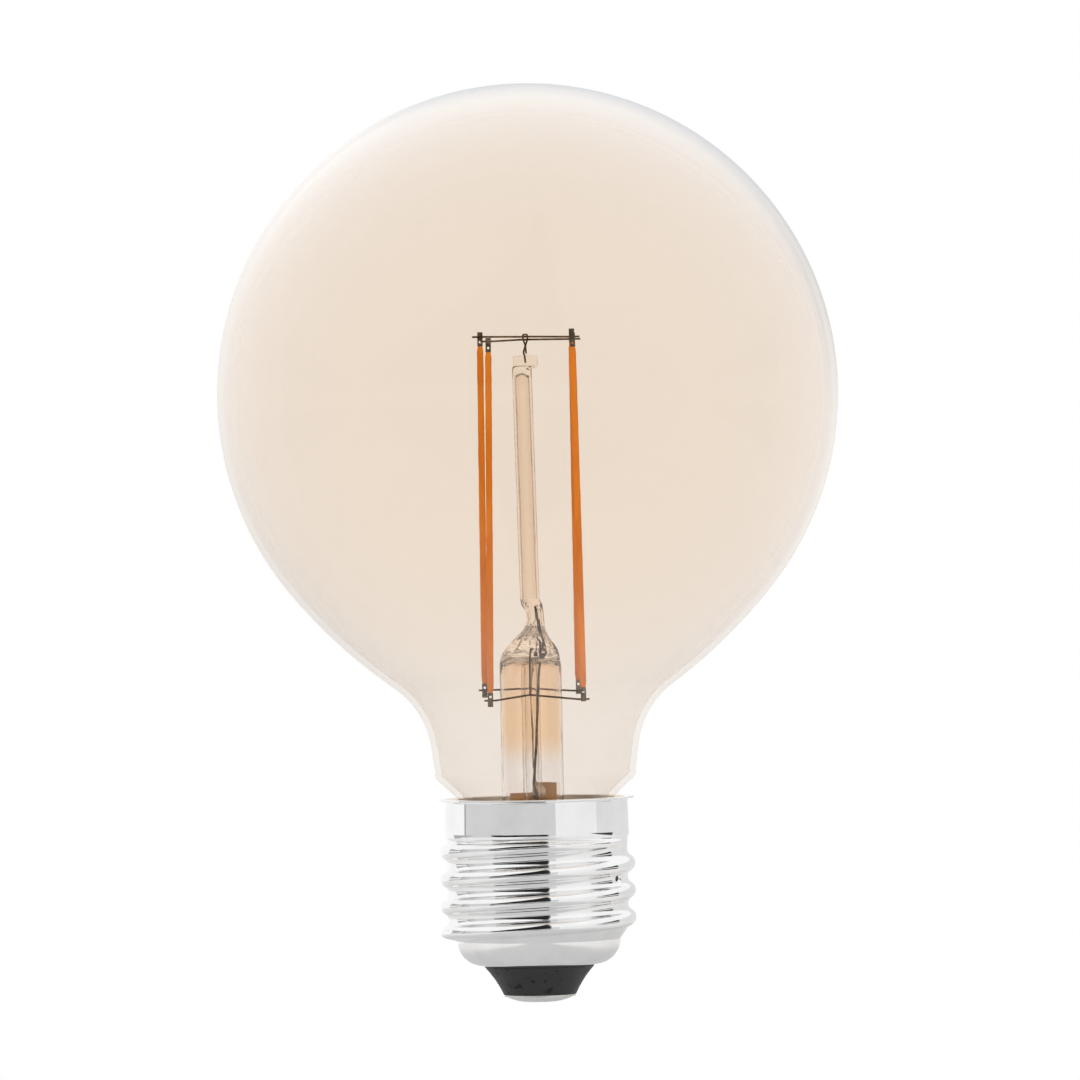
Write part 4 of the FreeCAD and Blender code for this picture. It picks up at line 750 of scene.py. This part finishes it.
@dataclass
class Strip:
    """One filament: its coated strip between two metal tabs."""

    name: str
    foot: Triple
    crown: Pair
    length: float = 49.1
    width: float = 0.87
    depth: float = 0.8
    tab: float = 1.9
    rounding: float = 0.26
    lump: float = 0.03
    end_length: float = 0.35
    end_taper: float = 0.12
    rows: int = 60

    def upright(self, mesh: Mesh) -> list[bmesh.types.BMEdge]:
        """The edges that run from end to end."""
        least = (self.length - 2.0 * self.tab) / 2.0
        return [edge for edge in mesh.edges
                if abs(edge.verts[0].co.z - edge.verts[1].co.z) > least]

    def build(self) -> None:
        """Make the strip's coat, a little lumpy, and dress its tabs."""
        mesh = bmesh.new()
        bmesh.ops.create_cube(mesh, size=1.0)
        coat = self.length - 2.0 * self.tab
        bmesh.ops.scale(mesh, vec=(self.width, self.depth, coat), verts=mesh.verts)
        bmesh.ops.bevel(mesh, geom=self.upright(mesh), offset=self.rounding, segments=4,
                        profile=0.5, affect="EDGES", material=-1)
        bmesh.ops.subdivide_edges(mesh, edges=self.upright(mesh), cuts=self.rows,
                                  use_grid_fill=True)
        seed = Vector((self.foot[0] * 3.1, self.foot[1] * 1.7, 0.0))
        for vertex in mesh.verts:
            around = Vector((vertex.co.x, vertex.co.y, 0.0))
            fine = seed + Vector((vertex.co.x, vertex.co.y, vertex.co.z * 2.5))
            swell = (noise.noise(seed + Vector((0.0, 0.0, vertex.co.z * 0.8)))
                     + 0.5 * noise.noise(fine))
            end = min((coat / 2.0 - abs(vertex.co.z)) / self.end_length, 1.0)
            vertex.co += around.normalized() * (
                swell * self.lump - self.end_taper * (1.0 - end) ** 2)
        foot = Vector(self.foot)
        step = Vector((self.crown[0], self.crown[1], foot.z)) - foot
        step.z = math.sqrt(self.length ** 2 - step.length ** 2)
        turn = Vector((0.0, 0.0, 1.0)).rotation_difference(step).to_matrix().to_4x4()
        middle = foot + step / 2.0
        bmesh.ops.transform(mesh, matrix=Matrix.Translation(middle) @ turn, verts=mesh.verts)
        finished(f"{self.name}_coat", mesh, Finish.COATING, [self.name])
        dressed([f"{self.name}_crown_tab", f"{self.name}_foot_tab"], Finish.TAB)


@dataclass
class FilamentCage:
    """Four filaments, the wires that join them, the hook and the leads."""

    foot_depth: float = 5.6
    crown_depth: float = 5.0
    feet: tuple[tuple[str, float, float, float], ...] = (
        ("left_back", -6.6, -6.25, 40.65), ("left_front", -5.8, -5.1, 39.6),
        ("right_front", 6.6, 6.1, 40.1), ("right_back", 6.0, 6.05, 40.9))

    def build(self) -> None:
        """Build the strips and dress the wires."""
        for name, foot, crown, base in self.feet:
            side = 1.0 if name.endswith("back") else -1.0
            Strip(f"filament_{name}", (foot, side * self.foot_depth, base),
                  (crown, side * self.crown_depth)).build()
        wires = [f"{level}_{side}_wire"
                 for level in ("top", "bottom") for side in ("front", "back")]
        dressed([*wires, "hook_wire", "inner_lead_front", "inner_lead_back"], Finish.NICKEL)
        dressed(["outer_lead_front", "outer_lead_back"], Finish.LEAD)


@dataclass
class ScrewCap:
    """The rolled cap: lip, skirt, thread, cup and stake dimple."""

    rim: float = 27.3
    sheet: float = 0.3
    lip: float = 13.05
    skirt: float = 12.2
    skirt_low: float = 12.3
    skirt_bottom: float = 21.7
    root: float = 12.05
    depth: float = 1.03
    pitch: float = 3.629
    rolled: float = 1.025
    first_crest: float = 8.97
    first_angle: float = 150.0
    turns: float = 3.5
    foot: float = 9.9
    cup_top: float = 8.3
    cup: float = 10.9
    rounding: float = 3.35
    bottom: float = 4.95
    opening: float = 7.35
    lip_edge: Outline = field(default_factory=lambda: [
        (-0.06, 0.0), (0.0, 0.06), (0.0, 0.2), (-0.08, 0.28)])
    under_lip: Outline = field(default_factory=lambda: [
        (0.14, 0.3), (0.04, 0.36), (0.0, 0.45), (0.0, 0.5)])
    flare: float = 0.2
    skirt_step: float = 0.5
    run_in: Pair = (-0.32, 0.0)
    run_out: Pair = (-0.15, 0.12)
    fade: Pair = (-0.4, 0.3)
    relief: float = 0.45
    dimple: tuple[float, float, float, float] = (-27.4, 16.5, 0.9, 0.3)
    # Width and thickness of the black ellipsoid painted as shade in the stake dimple.
    hole_shade: Pair = (0.45, 0.1)
    bead: Outline = field(default_factory=lambda: [
        (10.55, 26.2), (11.86, 26.2), (11.86, 27.2), (11.2, 27.26), (10.55, 27.2)])
    segments: int = 288

    def crest_at(self, angle: float, height: float) -> Pair:
        """Distance to the nearest crest and how far along the thread that crest is."""
        turn = ((angle - self.first_angle) % 360.0) / 360.0
        number = round((height - self.first_crest) / self.pitch - turn)
        number = min(max(number, -1), int(self.turns) + 1)
        along = number + turn
        return height - self.first_crest - along * self.pitch, along

    def thread(self, angle: float, height: float) -> float:
        """How far the rolled thread stands out from its root."""
        apart, along = self.crest_at(angle, height)
        rise = smooth_step(along, *self.run_in) * (1.0 - smooth_step(
            along, self.turns + self.run_out[0], self.turns + self.run_out[1]))
        quarter, near = self.pitch / 4.0, abs(apart)
        drop = self.rolled - math.sqrt(self.rolled ** 2 - quarter ** 2)
        share = self.depth / (2.0 * drop)
        if near < quarter:
            out = self.depth - (self.rolled - math.sqrt(self.rolled ** 2 - near ** 2)) * share
        else:
            inner = min(max(self.pitch / 2.0 - near, 0.0), quarter)
            out = (self.rolled - math.sqrt(self.rolled ** 2 - inner ** 2)) * share
        return out * rise

    def rolled_out(self, place: Vector) -> Vector:
        """The plain turned cap with its thread and its stake dimple pressed in."""
        radius = math.hypot(place.x, place.y)
        if radius < self.opening:
            return place.copy()
        angle = math.degrees(math.atan2(place.y, place.x))
        fade_from, fade_to = (self.skirt_bottom + part for part in self.fade)
        if self.bottom + 1.0 < place.z < fade_to:
            lift = self.thread(angle, place.z)
            if place.z < self.foot:
                lack = self.root - self.plain(place.z)
                lift = (max(lift - self.relief, 0.0) / (self.depth - self.relief)
                        * (self.depth + lack))
            radius += lift * (1.0 - smooth_step(place.z, fade_from, fade_to))
        centre_angle, centre_height, ball, deep = self.dimple
        side = math.radians((angle - centre_angle + 180.0) % 360.0 - 180.0) * radius
        away = math.hypot(side, place.z - centre_height)
        radius -= deep * (1.0 - smooth_step(away, ball * 0.25, ball))
        turn = math.radians(angle)
        return Vector((radius * math.cos(turn), radius * math.sin(turn), place.z))

    def plain(self, height: float) -> float:
        """The outside radius of the plain wall between cup and root, at a height."""
        share = min(max((height - self.cup_top) / (self.foot - self.cup_top), 0.0), 1.0)
        return self.cup + (self.root - self.cup) * share

    def build(self) -> None:
        """Turn the cap's sheet and roll its thread."""
        skirt_end = (self.skirt_low, self.skirt_bottom + self.skirt_step)
        wall = run((self.skirt, self.rim - self.under_lip[-1][1]), skirt_end, 8)
        wall += run(skirt_end, (self.root, self.skirt_bottom), 5)
        wall += run((self.root, self.skirt_bottom), (self.root, self.foot), 118)
        wall += run((self.root, self.foot), (self.cup, self.cup_top), 16)
        bend = (self.cup - self.rounding, self.bottom + self.rounding)
        outside = [(self.lip + out, self.rim - down) for out, down in self.lip_edge]
        outside += [(self.skirt + out, self.rim - down) for out, down in self.under_lip]
        outside += wall + arc(bend, self.rounding, 0.0, -90.0, 20)[1:]
        inside = [(self.opening, self.bottom), (self.opening, self.bottom + self.sheet)]
        inside += arc(bend, self.rounding - self.sheet, -90.0, 0.0, 8)
        inside += [(radius - self.sheet, height) for radius, height in reversed(wall)]
        inside += [(self.skirt - self.sheet, self.rim - self.under_lip[2][1]),
                   (self.skirt - self.sheet + self.flare, self.rim - self.lip_edge[1][1]),
                   (self.skirt + self.flare, self.rim)]
        mesh = moved(turned(outside + inside, self.segments), self.rolled_out)
        finished("cap_sheet", mesh, Finish.CAP, ["cap_shell"])
        self.build_hole_shade()
        finished("cement_bead", turned(self.bead, 96), Finish.BEAD)
        dressed(["cement_ring"], Finish.CEMENT)

    def build_hole_shade(self) -> None:
        """Set a black ellipsoid into the dimple as painted shade for the dark inside of a punched
        stake.
        """
        angle, height, _, deep = self.dimple
        mesh = bmesh.new()
        bmesh.ops.create_icosphere(mesh, subdivisions=3, radius=1.0)
        wide, thick = self.hole_shade
        bmesh.ops.scale(mesh, vec=(thick, wide, wide), verts=mesh.verts)
        out = self.root + self.thread(angle, height) - deep + thick / 2.0
        turn = Matrix.Rotation(math.radians(angle), 4, "Z")
        bmesh.ops.transform(mesh, matrix=turn @ Matrix.Translation((out, 0.0, height)),
                            verts=mesh.verts)
        finished("stake_hole_shade", mesh, Finish.BLACK_PACKAGE)


@dataclass
class Foot:
    """The black insulator with the soldered centre contact."""

    solder_radius: float = 4.6
    plate_face: float = 0.75
    flat: float = 1.5
    plug: Pair = (0.71, 2.25)
    grain: float = 0.09

    def grained(self, place: Vector) -> Vector:
        """Solder set in fine grains, flat where it touches."""
        radius = math.hypot(place.x, place.y)
        if radius < self.flat * 0.9 or place.z > self.plate_face - 0.01:
            return place.copy()
        lump = noise.noise(place * 2.2) + 0.6 * noise.noise(place * 5.0)
        return place + Vector((0.0, 0.0, abs(lump) * self.grain))

    def build(self) -> None:
        """Dress the insulator and make the grainy solder."""
        dressed(["insulator"], Finish.BLACK_GLASS)
        dressed(["contact_plate"], Finish.CONTACT)
        reach = self.solder_radius - self.flat
        curve = (reach ** 2 + self.plate_face ** 2) / (2.0 * self.plate_face)
        sweep = math.degrees(math.asin(reach / curve))
        outline = [(0.0, 0.0)] + run((0.0, 0.0), (self.flat, 0.0), 8)
        outline += arc((self.flat, curve), curve, -90.0, -90.0 + sweep, 16)[1:]
        outline += run(outline[-1], (self.plug[0], self.plate_face), 6)
        outline += [self.plug, (0.0, self.plug[1])]
        finished("solder_bead", moved(turned(outline, 96), self.grained), Finish.SOLDER,
                 ["solder_dome"])


@dataclass
class Driver:
    """The driver hidden in the cap, of which only the board's end shows."""

    front: float = 1.35
    sheet: float = 0.6
    bevel: float = 0.05
    outline: Outline = field(default_factory=lambda: [
        (-8.0, 8.8), (8.0, 8.8), (8.0, 17.2), (2.8, 17.2), (2.8, 29.2), (-0.45, 29.35),
        (-0.45, 27.95), (-3.6, 27.85), (-3.6, 17.2), (-8.0, 17.2)])
    drop: Triple = (0.45, 1.2, 28.0)
    drop_size: Triple = (0.95, 0.55, 0.8)
    drop_lump: float = 0.12
    parts: dict[Finish, tuple[str, ...]] = field(default_factory=lambda: {
        Finish.BLACK_PACKAGE: ("driver_chip", "bridge_rectifier", "chip_resistors"),
        Finish.CAN: ("capacitor",),
        Finish.GREEN_COAT: ("fusible_resistor",),
        Finish.LEAD: ("driver_chip_legs", "bridge_rectifier_legs", "capacitor_lead_left",
                      "capacitor_lead_right", "resistor_lead_lower", "resistor_lead_upper",
                      "live_wire", "neutral_wire")})

    def build_board(self) -> None:
        """Cut the board to its stepped outline and give its edges a small bevel."""
        mesh = bmesh.new()
        points = [mesh.verts.new((x, self.front, z)) for x, z in self.outline]
        face = mesh.faces.new(points)
        sides = bmesh.ops.extrude_face_region(mesh, geom=[face])["geom"]
        moving = [item for item in sides if isinstance(item, bmesh.types.BMVert)]
        bmesh.ops.translate(mesh, vec=(0.0, self.sheet, 0.0), verts=moving)
        bmesh.ops.recalc_face_normals(mesh, faces=mesh.faces)
        bmesh.ops.bevel(mesh, geom=list(mesh.edges), offset=self.bevel, segments=2, profile=0.5,
                        affect="EDGES", material=-1)
        finished("board_plate", mesh, Finish.BOARD, ["driver_board"])

    def build_drop(self) -> None:
        """Set the whitish drop of resin on the board's front, by its top edge."""
        mesh = bmesh.new()
        bmesh.ops.create_icosphere(mesh, subdivisions=4, radius=1.0)
        bmesh.ops.scale(mesh, vec=self.drop_size, verts=mesh.verts)
        for vertex in mesh.verts:
            vertex.co *= 1.0 + self.drop_lump * noise.noise(vertex.co * 1.6)
        bmesh.ops.translate(mesh, vec=self.drop, verts=mesh.verts)
        finished("resin_drop", mesh, Finish.RESIN)

    def build(self) -> None:
        """Build the board and dress the driver's other pieces."""
        self.build_board()
        self.build_drop()
        for finish, names in self.parts.items():
            dressed(names, finish)


# Studio


@dataclass(frozen=True)
class Panel:
    """A part of the studio that only gloss sees; left and right in degrees from the front."""

    left: float
    right: float
    level: float
    top_left: float
    top_right: float
    gap: float = -1.0
    soft: float = 1.5


@dataclass(frozen=True)
class Lamp:
    """A soft lamp."""

    name: str
    place: Triple
    size: float
    power: float


@dataclass
class Studio:
    """White sweep, soft lamps and the camera."""

    photo_size: float = 1080.0
    scale: float = 0.1337
    base_row: float = 1001.5
    axis_column: float = 530.7
    roll: float = 1.2
    distance: float = 1100.0
    sensor: float = 36.0
    daylight: float = 0.75
    ground: float = 1.0
    below: float = 0.4
    below_fall: Pair = (0.15, 0.5)
    panel_blur: float = 0.02
    off_backdrop: float = 0.3
    off_colour: Colour = (1.0, 0.84, 0.68)
    backdrop_edge: Pair = (0.35, 0.75)
    floor_radius: float = 0.1
    floor_colour: Colour = (0.8, 0.8, 0.8)
    floor_seen: Pair = (0.85, 1.1)
    floor_gloss: Pair = (0.85, 0.58)
    gloss_edge: Pair = (0.01, 0.03)
    gloss_lost: float = 0.8
    aim: Triple = (0.0, 0.0, 0.06)
    lamps: tuple[Lamp, ...] = (
        Lamp("key_lamp", (-0.7, -0.7, 0.8), 0.9, 9.0),
        Lamp("fill_lamp", (0.8, -0.5, 0.4), 0.7, 4.0))
    panels: tuple[Panel, ...] = (
        Panel(-103.0, 25.0, 0.68, 0.3, 0.3),
        Panel(-104.0, -100.0, 0.3, 0.3, 0.3),
        Panel(25.0, 80.0, 0.92, 0.3, 0.3),
        Panel(80.0, 178.0, 0.78, 0.3, 0.3),
        Panel(-60.0, 15.0, 0.02, 0.15, 1.01, 0.06),
        Panel(72.0, 112.0, 0.05, 0.1, 0.3, 0.07),
        Panel(-130.0, -88.0, 0.45, 0.3, 0.12, 0.07))

    def build_world(self) -> None:
        """White for the camera, panels for gloss, and dim to the sides for what glass bends."""
        world = bpy.data.worlds.new("studio")
        bpy.context.scene.world = world
        world.use_nodes = True
        tree = Tree(world.node_tree)
        path = tree.add("ShaderNodeLightPath")
        way = tree.add("ShaderNodeTexCoord").outputs["Generated"]
        place = tree.add("ShaderNodeSeparateXYZ", None, {0: way})
        x, y, z = (Value(tree, place.outputs[name]) for name in "XYZ")
        turn = tree.value("ShaderNodeMath", 0, {"operation": "ARCTAN2"}, {0: x, 1: y * -1.0})
        turn = turn * math.degrees(1.0)
        rise, depth = (tree.value("ShaderNodeMath", 0, {"operation": "ABSOLUTE"}, {0: part})
                       for part in (z, y))
        level = self.ground - (z * -1.0).step(*self.below_fall) * self.below
        blur = self.panel_blur
        for panel in self.panels:
            slope = (panel.top_right - panel.top_left) / (panel.right - panel.left)
            limit = (turn - panel.left) * slope + panel.top_left
            inside = (turn.step(panel.left, panel.left + panel.soft)
                      * (1.0 - turn.step(panel.right - panel.soft, panel.right))
                      * (limit - rise).step(-blur, blur) * rise.step(panel.gap - blur, panel.gap))
            level = inside * (panel.level - level) + level
        straight, bent, glossy = (Value(tree, path.outputs[name]) for name in (
            "Is Camera Ray", "Is Transmission Ray", "Is Glossy Ray"))
        backdrop = (depth.step(*self.backdrop_edge) * (1.0 - self.off_backdrop)
                    + self.off_backdrop)
        strength = glossy * level + (1.0 - glossy) * self.daylight
        strength = bent * backdrop + (1.0 - bent) * strength
        strength = straight + (1.0 - straight) * strength
        colour = tree.mixed(bent * (1.0 - backdrop), WHITE, self.off_colour)
        background = tree.add("ShaderNodeBackground", None,
                              {"Color": colour, "Strength": strength})
        output = tree.add("ShaderNodeOutputWorld")
        world.node_tree.links.new(background.outputs[0], output.inputs["Surface"])

    def build_floor(self) -> None:
        """A white floor that takes a faint shadow, and is dimmer to gloss below the cap."""
        mesh = bmesh.new()
        bmesh.ops.create_circle(mesh, cap_ends=True, radius=self.floor_radius, segments=96)
        data = bpy.data.meshes.new("floor")
        mesh.to_mesh(data)
        mesh.free()
        floor = bpy.data.objects.new("floor", data)
        bpy.context.scene.collection.objects.link(floor)
        material, tree = material_tree("floor_paint")
        path = tree.add("ShaderNodeLightPath")
        seen = (Value(tree, path.outputs["Is Camera Ray"])
                + Value(tree, path.outputs["Is Transmission Ray"])).clipped()
        place = tree.add("ShaderNodeSeparateXYZ", None, {0: tree.place()})
        across = Value(tree, place.outputs["X"])
        near, far = self.gloss_edge
        away = (across * across).step(near ** 2, far ** 2)
        glossy = (Value(tree, path.outputs["Is Glossy Ray"]) * (1.0 - seen)
                  * (1.0 - away * self.gloss_lost))
        paint = tree.add("ShaderNodeBsdfDiffuse", None, {"Color": self.floor_colour})
        light, dim = (tree.add("ShaderNodeEmission", None, {"Color": WHITE, "Strength": level})
                      for _, level in (self.floor_seen, self.floor_gloss))
        dimmed = tree.blend(glossy * self.floor_gloss[0], paint, dim)
        tree.finish(tree.blend(seen * self.floor_seen[0], dimmed, light))
        data.materials.append(material)

    def build_lamp(self, lamp: Lamp) -> None:
        """Hang a soft lamp and point it at the middle of the bulb."""
        light = bpy.data.lights.new(lamp.name, "AREA")
        light.shape = "DISK"
        light.size = lamp.size
        light.energy = lamp.power
        holder = bpy.data.objects.new(lamp.name, light)
        bpy.context.scene.collection.objects.link(holder)
        holder.location = lamp.place
        way = Vector(self.aim) - Vector(lamp.place)
        holder.rotation_euler = way.to_track_quat("-Z", "Y").to_euler()
        holder.visible_camera = False
        holder.visible_glossy = False
        holder.visible_transmission = False

    def build_camera(self) -> None:
        """The photograph's view: level, from the front, a little rolled."""
        camera = bpy.data.cameras.new("camera")
        camera.sensor_width = self.sensor
        camera.lens = self.sensor * self.distance / (self.photo_size * self.scale)
        camera.clip_end = 20.0
        turn = math.radians(self.roll)
        right = Vector((math.cos(turn), 0.0, -math.sin(turn)))
        up = Vector((math.sin(turn), 0.0, math.cos(turn)))
        back = Vector((0.0, -1.0, 0.0))
        middle = self.photo_size / 2.0
        target = Vector((0.0, 0.0, (self.base_row - middle) * self.scale))
        target += right * (middle - self.axis_column) * self.scale
        place = (target + back * self.distance) * MM
        matrix = Matrix((right, up, back)).transposed().to_4x4()
        matrix.translation = place
        holder = bpy.data.objects.new("camera", camera)
        bpy.context.scene.collection.objects.link(holder)
        holder.matrix_world = matrix
        bpy.context.scene.camera = holder

    def build(self) -> None:
        """Set up the whole studio."""
        self.build_world()
        self.build_floor()
        for lamp in self.lamps:
            self.build_lamp(lamp)
        self.build_camera()
        bpy.context.scene.view_settings.view_transform = "Standard"


def main() -> None:
    """Build the lamp, then the studio."""
    logging.basicConfig(level=logging.INFO, format="%(message)s")
    for assembly in (Envelope(), Stem(), FilamentCage(), ScrewCap(), Foot(), Driver(), Studio()):
        log.info("building %s", type(assembly).__name__)
        assembly.build()


if __name__ == "__main__":
    main()
